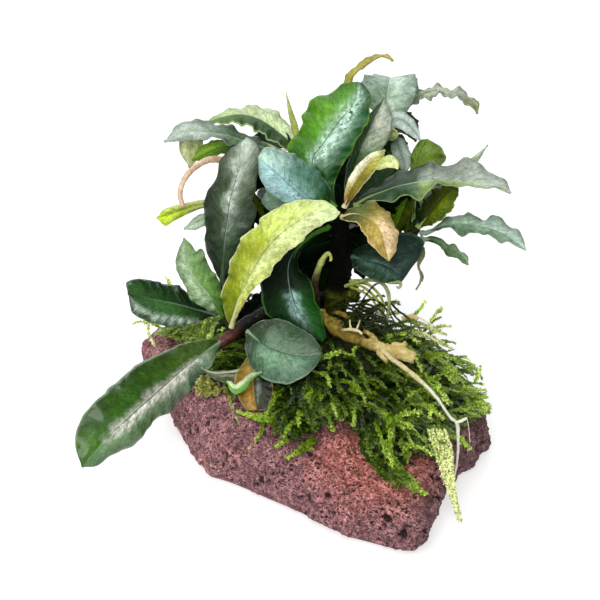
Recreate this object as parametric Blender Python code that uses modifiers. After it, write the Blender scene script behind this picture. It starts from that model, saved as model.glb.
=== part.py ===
"""A bucephalandra plant that has grown on to a mossy lava stone.

The plant was laid out on a front sheet, as a draughtsman would: sheet steps are a quarter of a
millimetre, x to the right and y down, and the third number of a point is how many millimetres it
stands in front of the sheet. The sheet faces a viewer who looks down at it, so place() turns a
sheet point into the part's own space: +X right, +Y back, +Z up, origin in the middle of the
stone's flat resting face.
"""

import math

import bmesh
import bpy
from mathutils import Vector, noise

MM = 0.001

# The layout sheet
SHEET_STEP = 0.25
SHEET_MIDDLE = 300.0
VIEW_RISE = math.radians(30.0)
VIEW_DISTANCE = 380.0
VIEW_CENTRE = Vector((-2.0, -5.0, 45.0))
SHEET_RIGHT = Vector((1.0, 0.0, 0.0))
SHEET_UP = Vector((0.0, math.sin(VIEW_RISE), math.cos(VIEW_RISE)))
SHEET_IN = Vector((0.0, math.cos(VIEW_RISE), -math.sin(VIEW_RISE)))

# Clearances and wall thickness
GAP = 0.3
LEAF_THICKNESS = 0.6
LEAST_HALF_WIDTH = 0.45


def place(x, y, near):
    """The point seen at x, y on the sheet, standing this many mm in front of it, in mm."""
    across = (x - SHEET_MIDDLE) * SHEET_STEP * SHEET_RIGHT
    upward = (SHEET_MIDDLE - y) * SHEET_STEP * SHEET_UP
    shrink = (VIEW_DISTANCE - near) / VIEW_DISTANCE
    return VIEW_CENTRE + (across + upward) * shrink - near * SHEET_IN


def smooth_path(points, count):
    """The count points that share out evenly a smooth curve through the given points."""
    ends = [points[0] * 2 - points[1]] + points + [points[-1] * 2 - points[-2]]
    fine = []
    for a, b, c, d in zip(ends, ends[1:], ends[2:], ends[3:]):
        for step in range(16):
            t = step / 16
            fine.append(
                0.5 * (2 * b + (c - a) * t + (2 * a - 5 * b + 4 * c - d) * t**2
                       + (3 * b - a - 3 * c + d) * t**3)
            )
    fine.append(points[-1].copy())
    run = [0.0]
    for a, b in zip(fine, fine[1:]):
        run.append(run[-1] + (b - a).length)
    made = []
    at = 0
    for index in range(count):
        want = run[-1] * index / (count - 1)
        while at < len(fine) - 2 and run[at + 1] < want:
            at += 1
        share = (want - run[at]) / max(run[at + 1] - run[at], 1e-9)
        made.append(fine[at].lerp(fine[at + 1], min(max(share, 0.0), 1.0)))
    return made


def ramp(pairs, at):
    """The value at this place on straight lines through the given pairs."""
    for (x0, y0), (x1, y1) in zip(pairs, pairs[1:]):
        if at <= x1:
            return y0 + (y1 - y0) * (at - x0) / (x1 - x0)
    return pairs[-1][1]


# The stone: its outline on the ground about the origin, in mm, and its height towards each point
STONE_OUTLINE = [
    (-45, 38, 12), (-37.6, 10.3, 15), (-33.5, -2.5, 17), (-26, -19, 18), (-20.5, -21.5, 18),
    (-3.5, -33, 17), (10, -44, 15), (19.5, -48, 14), (26, -49, 13), (31.5, -37, 14),
    (34.5, -25, 16), (38.5, -19, 16), (43, -15, 15), (46.5, -7, 15), (45.5, 1, 17), (37.5, 10, 20),
    (25, 19, 22), (8, 27, 22), (-12, 37, 18), (-30, 44, 15), (-42, 44, 12), (-47, 39, 11),
]
# From the base edge to the middle of the top: share of the outline's radius, share of the height
STONE_PROFILE = [
    (0.96, 0.0), (1.01, 0.1), (1.03, 0.33), (1.01, 0.6), (0.96, 0.82), (0.87, 0.94),
    (0.72, 1.0), (0.54, 1.05), (0.36, 1.1), (0.18, 1.13), (0.0, 1.14),
]
STONE_SIDES = 44
STONE_LUMP = 1.6
STONE_LUMP_SIZE = 13.0


def outline_at(turn):
    """Radius and height of the stone towards this angle, in mm."""
    corners = sorted((math.atan2(y, x), math.hypot(x, y), height) for x, y, height in STONE_OUTLINE)
    first, last = corners[0], corners[-1]
    corners.insert(0, (last[0] - 2 * math.pi, last[1], last[2]))
    corners.append((first[0] + 2 * math.pi, first[1], first[2]))
    turn = (turn + math.pi) % (2 * math.pi) - math.pi
    for (a, near, low), (b, far, high) in zip(corners, corners[1:]):
        if turn <= b:
            share = (turn - a) / (b - a)
            start = Vector((math.cos(a), math.sin(a))) * near
            end = Vector((math.cos(b), math.sin(b))) * far
            side = end - start
            ray = Vector((math.cos(turn), math.sin(turn)))
            reach = (start.x * side.y - start.y * side.x) / (ray.x * side.y - ray.y * side.x)
            return reach, low + (high - low) * share
    return last[1], last[2]


def lumps(point, size):
    return noise.fractal(point / size, 1.0, 2.0, 3)


def stone_point(turn, ring):
    """A point of the stone's skin: ring 0 is the base edge, and the last ring the top's middle."""
    reach, height = outline_at(turn)
    low = min(int(ring), len(STONE_PROFILE) - 2)
    share = ring - low
    out = STONE_PROFILE[low][0] * (1 - share) + STONE_PROFILE[low + 1][0] * share
    rise = STONE_PROFILE[low][1] * (1 - share) + STONE_PROFILE[low + 1][1] * share
    middle = 19.0
    height = height * min(out * 1.4, 1.0) + middle * (1 - min(out * 1.4, 1.0))
    flat = Vector((math.cos(turn) * reach * out, math.sin(turn) * reach * out, height * rise))
    lift = min(flat.z / 4.0, 1.0)
    push = Vector((flat.x, flat.y, 8.0 * rise)).normalized()
    return flat + push * lumps(flat, STONE_LUMP_SIZE) * STONE_LUMP * lift


def add_node(name, verts, faces, colour):
    """One named closed piece: points in mm, faces turned outwards, its own material."""
    mesh = bpy.data.meshes.new(name)
    mesh.from_pydata([tuple(v * MM) for v in verts], [], faces)
    shaped = bmesh.new()
    shaped.from_mesh(mesh)
    bmesh.ops.recalc_face_normals(shaped, faces=shaped.faces)
    shaped.to_mesh(mesh)
    shaped.free()
    mesh.shade_smooth()
    piece = bpy.data.objects.new(name, mesh)
    parts.objects.link(piece)
    paint = bpy.data.materials.new(name)
    paint.use_nodes = True
    shader = paint.node_tree.nodes["Principled BSDF"]
    shader.inputs["Base Color"].default_value = (*colour, 1.0)
    shader.inputs["Roughness"].default_value = 0.5
    mesh.materials.append(paint)
    return piece


def turned_faces(rings, sides, first=0):
    """Quads between rings of this many points each, closed all round."""
    faces = []
    for ring in range(rings - 1):
        for side in range(sides):
            a = first + ring * sides + side
            b = first + ring * sides + (side + 1) % sides
            faces.append((a, b, b + sides, a + sides))
    return faces


def make_stone():
    rings = len(STONE_PROFILE) - 1
    verts = []
    for ring in range(rings):
        for side in range(STONE_SIDES):
            verts.append(stone_point(2 * math.pi * side / STONE_SIDES, ring))
    faces = turned_faces(rings, STONE_SIDES)
    faces.append(tuple(reversed(range(STONE_SIDES))))
    top = len(verts)
    verts.append(stone_point(0.0, rings))
    last = (rings - 1) * STONE_SIDES
    for side in range(STONE_SIDES):
        faces.append((last + side, last + (side + 1) % STONE_SIDES, top))
    return add_node("stone", verts, faces, (0.16, 0.09, 0.085))


# The moss: where its edge lies, as a ring of the stone, towards each angle in degrees
MOSS_EDGE = [
    (-180, 6.6), (-150, 8.0), (-120, 7.4), (-104, 5.4), (-95, 4.7), (-84, 5.0), (-74, 6.4),
    (-62, 6.0), (-50, 4.6), (-30, 4.3), (0, 4.4), (30, 4.2), (90, 4.3), (120, 4.6), (140, 5.6),
    (180, 6.6),
]
MOSS_SIDES = 36
MOSS_STEPS = [0.0, 0.12, 0.3, 0.5, 0.72, 0.9]
MOSS_DEPTH = 5.0
MOSS_LUMP = 1.6
MOSS_CLEAR = 0.9
# Where it is plumper: x, y, extra depth and reach, in mm
MOSS_HUMPS = [(27, 17, 4.5, 15), (41, 2, 3.0, 10), (9, 18, 1.5, 10)]
# Share of that depth, from the left end of the stone to the right
MOSS_THIN = [(-50, 0.5), (-15, 0.6), (0, 0.95), (25, 1.15), (50, 1.2)]


def moss_skin(side, step, lift):
    """A point over the stone between the moss's edge (step 0) and the middle of its top (step 1)."""
    turn = 2 * math.pi * side / MOSS_SIDES
    degrees = math.degrees((turn + math.pi) % (2 * math.pi) - math.pi)
    edge = ramp(MOSS_EDGE, degrees)
    ring = edge + (len(STONE_PROFILE) - 1 - edge) * step
    here = stone_point(turn, ring)
    out = Vector((here.x, here.y, 0.0)).normalized()
    lean = ramp([(3.0, 0.95), (4.5, 0.6), (6.0, 0.25), (8.0, 0.0), (10.0, 0.0)], ring)
    away = (out * lean + Vector((0.0, 0.0, 1.0)) * (1.0 - 0.6 * lean)).normalized()
    return here + away * lift


def make_moss():
    verts = []
    steps = len(MOSS_STEPS)
    for step in MOSS_STEPS:
        for side in range(MOSS_SIDES):
            verts.append(moss_skin(side, step, MOSS_CLEAR))
    for index, step in enumerate(MOSS_STEPS):
        for side in range(MOSS_SIDES):
            under = moss_skin(side, step, MOSS_CLEAR)
            plump = MOSS_DEPTH * min(1.0, 0.28 + 1.5 * step) + MOSS_LUMP * lumps(under, 7.0)
            plump *= ramp(MOSS_THIN, under.x)
            for x, y, extra, reach in MOSS_HUMPS:
                off = math.hypot(under.x - x, under.y - y) / reach
                plump += extra * math.exp(-off * off) * min(1.0, 0.35 + 2.5 * step)
            verts.append(moss_skin(side, step, MOSS_CLEAR + max(plump, 0.9)))
    under_middle = len(verts)
    verts.append(moss_skin(0, 1.0, MOSS_CLEAR))
    verts.append(moss_skin(0, 1.0, MOSS_CLEAR + MOSS_DEPTH))
    upper = steps * MOSS_SIDES
    faces = [tuple(reversed(face)) for face in turned_faces(steps, MOSS_SIDES)]
    faces += turned_faces(steps, MOSS_SIDES, upper)
    for side in range(MOSS_SIDES):
        after = (side + 1) % MOSS_SIDES
        faces.append((side, after, upper + after, upper + side))
        low = (steps - 1) * MOSS_SIDES
        faces.append((low + after, low + side, under_middle))
        faces.append((upper + low + side, upper + low + after, under_middle + 1))
    return add_node("moss_cushion", verts, faces, (0.16, 0.25, 0.04))


def tube(name, rows, colour, sides=8, count=10):
    """A round stem through sheet points (x, y, near, radius in mm), closed at both ends."""
    path = smooth_path([place(x, y, near) for x, y, near, _ in rows], count)
    knots = [(index / (len(rows) - 1), row[3]) for index, row in enumerate(rows)]
    verts = []
    aside = None
    for index, here in enumerate(path):
        ahead = path[min(index + 1, count - 1)] - path[max(index - 1, 0)]
        ahead.normalize()
        if aside is None:
            aside = ahead.orthogonal().normalized()
        aside = (aside - ahead * aside.dot(ahead)).normalized()
        other = ahead.cross(aside)
        radius = ramp(knots, index / (count - 1))
        for side in range(sides):
            turn = 2 * math.pi * side / sides
            verts.append(here + (aside * math.cos(turn) + other * math.sin(turn)) * radius)
    faces = turned_faces(count, sides)
    faces.append(tuple(reversed(range(sides))))
    faces.append(tuple(range((count - 1) * sides, count * sides)))
    return add_node(name, verts, faces, colour)


def axis_of(rows, count=40):
    """Points along a stem and its radius at each, to keep leaves clear of it."""
    path = smooth_path([place(x, y, near) for x, y, near, _ in rows], count)
    knots = [(index / (len(rows) - 1), row[3]) for index, row in enumerate(rows)]
    return [(here, ramp(knots, index / (count - 1))) for index, here in enumerate(path)]


# The stems, each as points on the layout sheet: x, y, mm in front of it, radius in mm
STEMS = {
    "trunk": [(331, 318, -34, 2.8), (336, 300, -29, 3.2), (338, 275, -25, 2.8),
              (340, 250, -21, 2.5), (341, 230, -18, 2.6), (342, 210, -15.5, 2.2)],
    "left_rhizome": [(214, 348, -23, 1.5), (232, 335, -24.5, 1.8), (252, 320, -27, 1.8),
                     (280, 306, -29, 1.7), (312, 298, -30, 1.6)],
    "left_shoot": [(229, 322, -26, 1.3), (224, 304, -24.5, 1.4), (223, 288, -23, 1.4)],
    "right_shoot": [(356, 262, -27, 1.5), (376, 254, -28, 1.5), (398, 243, -26, 1.5),
                    (413, 233, -23, 1.7)],
    "back_shoot": [(328, 214, -21, 1.2), (312, 192, -25, 1.3), (300, 165, -27, 1.3),
                   (292, 146, -28, 1.2)],
    "top_shoot": [(354, 205, -22, 1.3), (366, 182, -27, 1.4), (378, 155, -31, 1.3),
                  (388, 134, -32, 1.2)],
    "hook_shoot": [(318, 314, -25, 0.9), (317, 300, -22, 0.9), (316, 284, -19, 0.85), (318, 270, -16, 0.75),
                   (323, 259, -14, 0.65), (329, 254, -12.5, 0.55), (331, 260, -11.5, 0.45)],
}

# The roots, two loose bits of moss and the flower stalk, in the same way
ROOTS = {
    "tan_root": [(328, 322, -17.5, 1.2), (338, 331, -14, 1.5), (352, 336, -11.5, 1.5),
                 (368, 342, -9.5, 1.4), (385, 348, -7.5, 1.3), (400, 351, -6.5, 1.5),
                 (411, 355, -5.5, 1.7)],
    "white_root": [(391, 357, -4, 0.55), (406, 368, -1, 0.6), (423, 383, 2, 0.6),
                   (437, 398, 3, 0.6), (450, 417, 3.5, 0.65), (457, 424, 2.5, 0.75),
                   (458, 445, 2, 0.6), (457, 462, 2, 0.55), (453, 482, 0.5, 0.4)],
    "left_moss_tuft": [(191, 386, -12, 1.0), (198, 386, -11, 2.4), (207, 386, -11, 2.6),
                       (215, 384, -12, 1.2)],
    "right_moss_strand": [(440, 450, 9, 0.8), (443, 470, 9, 1.2), (448, 492, 8, 1.1),
                          (453, 512, 7, 0.6)],
    "flower_stalk": [(226, 284, -25, 0.8), (229, 240, -23.5, 0.75), (238, 190, -23.5, 0.7),
                     (234, 165, -23, 0.7), (221, 160, -20, 0.75), (208, 160, -17, 0.75),
                     (193, 168, -14, 0.75), (183, 182, -12, 0.7), (180, 196, -11, 0.7),
                     (183, 207, -10, 0.7)],
    "upper_root": [(352, 284, -23, 0.55), (366, 281, -20, 0.55), (379, 284, -18, 0.55),
                   (386, 296, -17, 0.5), (386, 310, -17.5, 0.45), (385, 321, -19.5, 0.4)],
}


def leaf_grid(rib, left, right, along, across, bulge, waves):
    """Rows of points from base to tip across a blade bounded by its two edges."""
    middle = smooth_path([place(*p) for p in rib], along)
    sides = []
    for edge in (left, right):
        sides.append(smooth_path([place(*p) for p in [rib[0]] + edge + [rib[-1]]], along))
    rows = []
    for index, here in enumerate(middle):
        ahead = middle[min(index + 1, along - 1)] - middle[max(index - 1, 0)]
        span = sides[1][index] - sides[0][index]
        if span.length < 0.8:
            span = ahead.cross(SHEET_IN) * -1.0
        face = ahead.cross(span).normalized()
        away = span.normalized()
        ends = []
        for edge, sign in ((sides[0][index], -1.0), (sides[1][index], 1.0)):
            reach = edge - here
            if reach.length < LEAST_HALF_WIDTH or reach.dot(away) * sign < 0.1:
                reach = away * sign * LEAST_HALF_WIDTH
            ends.append(reach)
        row = []
        for step in range(across + 1):
            v = 2.0 * step / across - 1.0
            reach = ends[0] * -v if v < 0 else ends[1] * v
            puff = bulge * (1.0 - (2.0 * abs(v) - 1.0) ** 2) * reach.length
            ripple = waves[0] * v * v * math.sin(
                2 * math.pi * waves[1] * index / (along - 1) + (1.3 if v < 0 else 0.0)
            )
            ripple *= math.sin(math.pi * min(index / (along - 1) * 1.05, 1.0))
            row.append(here + reach + face * (puff + ripple))
        rows.append(row)
    return rows


def clear_of_stems(row, axes):
    """Whether a row of a blade is clear of every stem by the gap."""
    for here, radius in axes:
        for point in row:
            if (point - here).length < radius + GAP + LEAF_THICKNESS / 2 + 0.15:
                return False
    return True


def make_leaf(name, spec, axes):
    colour, rib, left, right = spec[:4]
    settings = {"bulge": 0.08, "waves": (0.0, 3.0), "along": 9, "across": 2}
    settings.update(spec[4] if len(spec) > 4 else {})
    rows = leaf_grid(rib, left, right, settings["along"] * 3, settings["across"],
                     settings["bulge"], settings["waves"])
    start = 0
    while start < len(rows) // 2 and not clear_of_stems(rows[start], axes):
        start += 1
    kept = rows[start:]
    step = (len(kept) - 1) / (settings["along"] - 1)
    rows = [kept[round(index * step)] for index in range(settings["along"])]
    wide = settings["across"] + 1
    verts = [point for row in rows for point in row]
    faces = []
    for row in range(len(rows) - 1):
        for step in range(wide - 1):
            a = row * wide + step
            faces.append((a, a + 1, a + 1 + wide, a + wide))
    piece = add_node(name, verts, faces, colour)
    skin = piece.modifiers.new("thickness", "SOLIDIFY")
    skin.thickness = LEAF_THICKNESS * MM
    skin.offset = 0.0
    return piece


DARK = (0.03, 0.09, 0.03)
MID = (0.08, 0.2, 0.06)
GREY = (0.2, 0.28, 0.22)
PALE = (0.42, 0.52, 0.38)
YELLOW = (0.5, 0.52, 0.1)
BROWN = (0.4, 0.28, 0.1)

# Each blade: colour, midrib from base to tip, left edge, right edge (seen walking from base to
# tip), as sheet points x, y and mm in front of the sheet, then what differs from a plain blade
LEAVES = {
    "long_left_leaf": (
        GREY,
        [(222, 341, -23), (200, 356, -17), (180, 372, -10), (160, 390, -4), (140, 408, 1),
         (120, 426, 5), (100, 445, 8), (82, 467, 9)],
        [(190, 389, -13), (177, 409, -7), (150, 424, -1), (130, 446, 2), (105, 463, 6)],
        [(200, 341, -18), (170, 350, -11), (150, 359, -6), (120, 381, 1), (92, 407, 5),
         (76, 430, 8), (75, 449, 9)],
        {"along": 12, "across": 4, "waves": (0.5, 5.0)}),
    "dark_left_leaf": (
        DARK,
        [(216, 314, -24), (195, 309, -22), (175, 304, -20), (155, 300, -18), (128, 294, -16)],
        [(195, 323, -21), (170, 326, -18), (150, 322, -16), (133, 313, -15)],
        [(195, 300, -23), (180, 287, -22), (160, 283, -20), (143, 279, -18), (127, 282, -16)],
        {"across": 4}),
    "light_left_leaf": (
        PALE,
        [(223, 316, -22.5), (210, 297, -17), (200, 285, -15), (192, 272, -13), (187, 258, -12),
         (186, 239, -11)],
        [(207, 309, -18), (190, 295, -15), (184, 280, -13), (177, 262, -11)],
        [(222, 290, -18), (219, 281, -17), (210, 270, -14), (204, 253, -12)],
        {"across": 4}),
    "tall_grey_leaf": (
        GREY,
        [(222, 286, -20), (223, 262, -17.5), (224, 240, -16), (227, 220, -15), (230, 200, -14.5),
         (236, 178, -15), (242, 158, -16), (247, 137, -18)],
        [(213, 268, -19), (206, 250, -18), (203, 228, -18), (205, 203, -18), (212, 180, -17.5),
         (221, 162, -18), (236, 141, -18.5)],
        [(236, 262, -18), (252, 228, -16.5), (256, 208, -16), (256, 190, -16), (257, 170, -16),
         (260, 153, -17), (256, 143, -18)],
        {"along": 12, "across": 4, "waves": (0.4, 4.0)}),
    "yellow_arch_leaf": (
        YELLOW,
        [(231, 328, -22), (237, 305, -18), (243, 290, -15), (251, 273, -12), (261, 257, -9),
         (276, 238, -6), (300, 220, -3), (322, 211, -1), (340, 213, -1)],
        [(224, 312, -20), (223, 292, -17.5), (227, 270, -14.5), (234, 251, -12),
         (250, 231, -9), (275, 212, -6), (300, 199, -4), (326, 202, -2)],
        [(238, 312, -18), (247, 295, -14), (262, 280, -10), (276, 268, -7), (290, 248, -4),
         (312, 226, -1.5), (330, 219, -0.5)],
        {"along": 14, "across": 4, "waves": (0.45, 6.0)}),
    "round_front_leaf": (
        GREY,
        [(247, 331, -19), (258, 340, -14.5), (270, 348, -11.5), (288, 354, -9), (305, 356, -8),
         (322, 354, -8)],
        [(262, 320, -17), (285, 321, -16), (305, 331, -13.5), (318, 343, -10)],
        [(246, 347, -14.5), (250, 366, -11), (266, 380, -7), (282, 383, -3.5), (302, 378, -2.5),
         (316, 366, -5)],
        {"across": 4}),
    "dark_gloss_leaf": (
        DARK,
        [(330, 226, -20), (305, 240, -19), (290, 262, -18), (291, 290, -18), (300, 315, -16.5),
         (323, 342, -14)],
        [(312, 245, -21), (302, 262, -19.5), (310, 285, -17.5), (318, 305, -16.5), (324, 325, -14.5)],
        [(285, 245, -21), (268, 262, -22), (261, 288, -22), (266, 312, -21),
         (290, 330, -17)],
        {"along": 11, "across": 4}),
    "blue_wet_leaf": (
        GREY,
        [(330, 214, -14.5), (318, 206, -12), (303, 196, -10), (288, 183, -8.5), (272, 168, -8.5),
         (258, 157, -9.5)],
        [(303, 208, -8.5), (285, 202, -7), (270, 192, -7), (260, 178, -8)],
        [(330, 192, -15), (322, 175, -14.5), (308, 163, -13.5), (288, 152, -12.5),
         (266, 147, -11)],
        {"across": 4}),
    "blue_under_leaf": (
        GREY,
        [(322, 216, -19), (300, 212, -18.5), (280, 203, -17.5), (265, 194, -17)],
        [(300, 218, -18.5), (275, 213, -18.5), (262, 203, -18)],
        [(300, 203, -18.5), (282, 194, -17), (270, 188, -16.5)]),
    "green_top_leaf": (
        MID,
        [(336, 208, -19.5), (318, 186, -19), (312, 162, -17), (325, 140, -16), (338, 121, -15.5),
         (350, 104, -16.5), (358, 82, -19)],
        [(305, 175, -19), (287, 148, -19), (299, 128, -18.5), (308, 103, -18.5),
         (330, 90, -19), (348, 82, -20)],
        [(332, 186, -19), (343, 160, -16), (357, 145, -14.5), (370, 122, -14), (373, 104, -15.5),
         (367, 88, -18)],
        {"along": 13, "across": 4, "waves": (0.35, 4.0)}),
    "yellow_top_leaf": (
        YELLOW,
        [(316, 184, -24.5), (328, 135, -22.5), (341, 98, -23), (350, 75, -22.5), (362, 64, -22), (378, 55.5, -21),
         (386, 54.5, -20.5), (393, 61, -20)],
        [(326, 135, -23), (339, 98, -23.5), (346, 76, -23), (358, 64, -23), (376, 54, -22)],
        [(330, 135, -22), (343, 100, -22.5), (356, 73, -21.5), (366, 66, -21), (380, 57, -20.5)],
        {"along": 11}),
    "left_spike": (
        YELLOW,
        [(297, 152, -26.5), (296, 133, -24), (291, 115, -23.5), (286, 92, -23)],
        [(292, 130, -24), (288, 112, -23.5)],
        [(299, 131, -24), (293, 112, -23.5)],
        {"along": 6}),
    "light_back_leaf": (
        PALE,
        [(291, 143, -30.5), (291, 130, -33), (280, 120, -35), (262, 118, -34), (240, 119, -32),
         (220, 120, -30), (200, 125, -28)],
        [(284, 134, -29), (272, 130, -28), (255, 129, -27), (235, 125, -27), (215, 123, -27)],
        [(285, 118, -38), (262, 109, -39), (242, 107, -38), (225, 110, -36), (208, 117, -31)],
        {"across": 4}),
    "grey_back_leaf": (
        PALE,
        [(290, 156, -24), (268, 146, -22), (247, 139, -20.5), (225, 133, -20), (203, 131, -20),
         (184, 131, -20), (164, 142, -20)],
        [(262, 152, -20), (240, 144, -19), (215, 138, -18.5), (190, 140, -18.5)],
        [(268, 138, -25), (245, 128, -24.5), (228, 124, -24), (205, 121, -23.5),
         (180, 124, -22)],
        {"across": 4}),
    "small_green_leaf": (
        MID,
        [(262, 156, -26), (240, 146, -24.5), (218, 147, -23), (192, 160, -22)],
        [(238, 153, -23.5), (219, 154, -22), (204, 160, -21.5)],
        [(242, 141, -25), (222, 139, -24.5), (201, 146, -23)]),
    "olive_drop_leaf": (
        PALE,
        [(286, 152, -28), (245, 139, -28.5), (206, 131, -27), (193, 137, -25), (189, 148, -24),
         (190, 168, -23.5)],
        [(245, 141, -29), (206, 134, -27.5), (182, 137, -25), (180, 152, -24.5)],
        [(245, 137, -28), (208, 132, -26.5), (203, 143, -24), (200, 156, -23.5)],
        {"along": 10}),
    "left_spathe": (
        YELLOW,
        [(227, 236, -21.5), (216, 209, -20.5), (206, 204, -19.5), (190, 207, -17), (175, 212, -15),
         (157, 218, -14)],
        [(214, 210, -20.5), (204, 208, -19.5), (188, 214, -15.5), (174, 221, -13), (165, 226, -13)],
        [(218, 209, -20), (206, 200, -19.5), (190, 202, -17), (176, 205, -15), (163, 210, -14)],
        {"bulge": 0.3, "along": 9}),
    "small_grey_leaf": (
        GREY,
        [(222, 284, -26), (226, 250, -25), (222, 224, -23), (206, 218, -21), (195, 223, -20),
         (184, 229, -19.5)],
        [(223, 250, -25), (218, 226, -23), (204, 226, -20), (194, 230, -19.5)],
        [(228, 250, -24.5), (224, 220, -22.5), (206, 213, -21.5), (194, 218, -20.5)],
        {"along": 9}),
    "brown_leaf": (
        BROWN,
        [(341, 217, -11), (355, 213, -8.5), (370, 219, -6.5), (381, 232, -5.5), (389, 261, -5.5)],
        [(350, 209, -11), (365, 202, -11), (380, 206, -10.5), (392, 218, -9.5), (398, 243, -8)],
        [(345, 221, -7.5), (358, 225, -5), (365, 238, -4), (380, 250, -4.5)],
        {"across": 4}),
    "main_spathe": (
        YELLOW,
        [(344, 208, -12.5), (350, 190, -10.5), (358, 173, -8.5), (370, 160, -7), (387, 152, -6)],
        [(346, 190, -11.5), (353, 172, -10), (365, 159, -8.5)],
        [(354, 196, -9.5), (367, 179, -7), (383, 167, -5.5), (399, 167, -5), (395, 157, -5.5)],
        {"bulge": 0.3, "along": 10}),
    "big_right_leaf": (
        MID,
        [(354, 206, -14), (368, 197, -13), (385, 190, -11.5), (400, 185, -10.5), (430, 180, -9),
         (460, 181, -7.5), (485, 182, -6.5), (511, 193, -6)],
        [(368, 190, -16), (385, 178, -16), (403, 171, -16), (427, 163, -15.5), (452, 163, -14),
         (478, 162, -12.5), (497, 176, -9.5)],
        [(372, 202, -11), (392, 200, -9), (413, 199, -7.5), (430, 191, -6.5), (460, 187, -6),
         (485, 187, -5.5), (500, 189, -5.5)],
        {"along": 13, "across": 4, "waves": (0.4, 4.0)}),
    "right_spike": (
        GREY,
        [(419, 226, -25), (436, 201, -22), (453, 175, -19.5), (470, 164, -17.5), (488, 145, -16)],
        [(435, 199, -22), (452, 173, -20), (468, 161, -18)],
        [(438, 202, -21.5), (456, 177, -18.5), (474, 166, -17)],
        {"along": 7}),
    "olive_cup_leaf": (
        YELLOW,
        [(418, 228, -19), (428, 215, -17), (437, 204, -15.5), (446, 194, -15), (455, 185, -15.5)],
        [(419, 212, -20), (424, 199, -19.5), (434, 189, -18.5), (446, 184, -17)],
        [(434, 224, -16), (448, 214, -14), (455, 202, -13.5), (459, 190, -14.5)],
        {"bulge": 0.2, "across": 4}),
    "right_pale_leaf": (
        GREY,
        [(420, 234, -20), (440, 227, -17), (470, 228, -13.5), (495, 233, -11), (512, 241, -10),
         (526, 250, -10)],
        [(432, 221, -19.5), (448, 216, -18), (465, 214, -16.5), (485, 218, -14.5),
         (500, 217, -13.5), (514, 230, -11.5)],
        [(440, 234, -16), (473, 233, -12), (490, 236, -10), (505, 243, -9), (518, 249, -9.5)],
        {"waves": (0.4, 4.0), "along": 10}),
    "right_small_leaf": (
        MID,
        [(420, 239, -20), (435, 240, -17), (447, 246, -15), (458, 254, -14), (470, 265, -13.5)],
        [(436, 234, -17.5), (450, 240, -15.5), (461, 252, -14)],
        [(433, 246, -16), (445, 253, -14.5), (456, 261, -13.5)],
        {"along": 7}),
    "dark_under_leaf": (
        DARK,
        [(352, 256, -20), (370, 256, -18), (390, 259, -16), (402, 270, -16), (399, 286, -17)],
        [(355, 248, -21.5), (380, 238, -21), (405, 231, -20), (423, 240, -18.5), (417, 258, -17),
         (408, 273, -16.5)],
        [(353, 265, -18.5), (366, 277, -16), (380, 281, -15.5), (392, 283, -16)],
        {"across": 4, "along": 10}),
    "dried_leaf": (
        PALE,
        [(424, 242, -20.5), (420, 252, -19), (418, 264, -18), (422, 278, -17.5), (416, 290, -17.5)],
        [(416, 253, -19), (414, 264, -18), (418, 278, -17.5)],
        [(424, 254, -18.5), (422, 264, -17.5), (425, 278, -17)],
        {"along": 7}),
    "grey_mid_leaf": (
        MID,
        [(347, 203, -20), (350, 182, -21), (357, 157, -22.5), (366, 135, -24), (375, 115, -26),
         (384, 97, -28)],
        [(345, 182, -20.5), (350, 158, -21.5), (359, 136, -22.5), (370, 114, -24.5)],
        [(356, 182, -20), (366, 158, -20.5), (382, 146, -21.5), (390, 132, -23),
         (395, 116, -25)],
        {"along": 11, "across": 4}),
    "pale_top_leaf": (
        PALE,
        [(388, 124, -33), (386, 106, -33), (387, 90, -34), (389, 79, -38), (392, 78, -44),
         (394, 84, -52)],
        [(378, 116, -32), (364, 98, -33), (362, 83, -36), (370, 75, -40), (380, 79, -46)],
        [(400, 120, -32.5), (411, 105, -33), (418, 88, -35), (414, 77, -39), (406, 80, -46)],
        {"across": 4, "along": 11, "waves": (0.5, 4.0)}),
    "curl_leaf": (
        GREY,
        [(393, 126, -34.5), (401, 110, -38.5), (418, 97, -38), (432, 91, -36), (448, 91, -35), (465, 96, -34),
         (477, 106, -33), (477, 114, -33)],
        [(400, 109, -39.5), (418, 92, -39.5), (432, 87, -39), (448, 88, -38), (466, 93, -37), (479, 104, -34)],
        [(403, 112, -38), (418, 101, -36.5), (433, 96, -33), (448, 95, -32), (463, 101, -31.5), (473, 108, -32)],
        {"waves": (0.4, 4.0), "along": 10}),
    "grey_curve_leaf": (
        GREY,
        [(390, 128, -29), (397, 118, -28), (406, 119, -27), (414, 127, -26), (421, 141, -25)],
        [(394, 112, -29), (405, 112, -28.5), (416, 121, -27)],
        [(400, 127, -27), (406, 130, -26), (413, 138, -25)],
        {"along": 7}),
    "blue_small_leaf": (
        GREY,
        [(391, 136, -28.5), (398, 142, -26), (404, 155, -24.5), (410, 172, -23.5)],
        [(400, 136, -27.5), (408, 145, -25.5), (413, 160, -24.5)],
        [(393, 146, -25.5), (397, 158, -24), (404, 168, -23.5)],
        {"along": 7}),
    "pale_bud": (
        PALE,
        [(384, 141, -27.5), (387, 135, -26.5), (393, 131, -26), (399, 134, -25.5)],
        [(383, 132, -27.5), (391, 126, -27)],
        [(389, 141, -25.5), (396, 139, -25)],
        {"along": 6}),
    "olive_fold_leaf": (
        YELLOW,
        [(413, 225, -25), (413, 200, -24), (416, 178, -22), (418, 163, -20.5), (421, 152, -19.5),
         (428, 139, -19.5)],
        [(411, 200, -24.5), (411, 178, -22), (411, 156, -20.5), (419, 141, -20)],
        [(416, 200, -23), (424, 178, -20.5), (444, 162, -18), (442, 148, -18.5)],
        {"across": 4}),
    "under_leaf": (
        GREY,
        [(246, 334, -23), (253, 352, -18), (253, 368, -14), (240, 373, -13), (225, 374, -13),
         (207, 371, -14.5), (200, 370, -15.5)],
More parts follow.
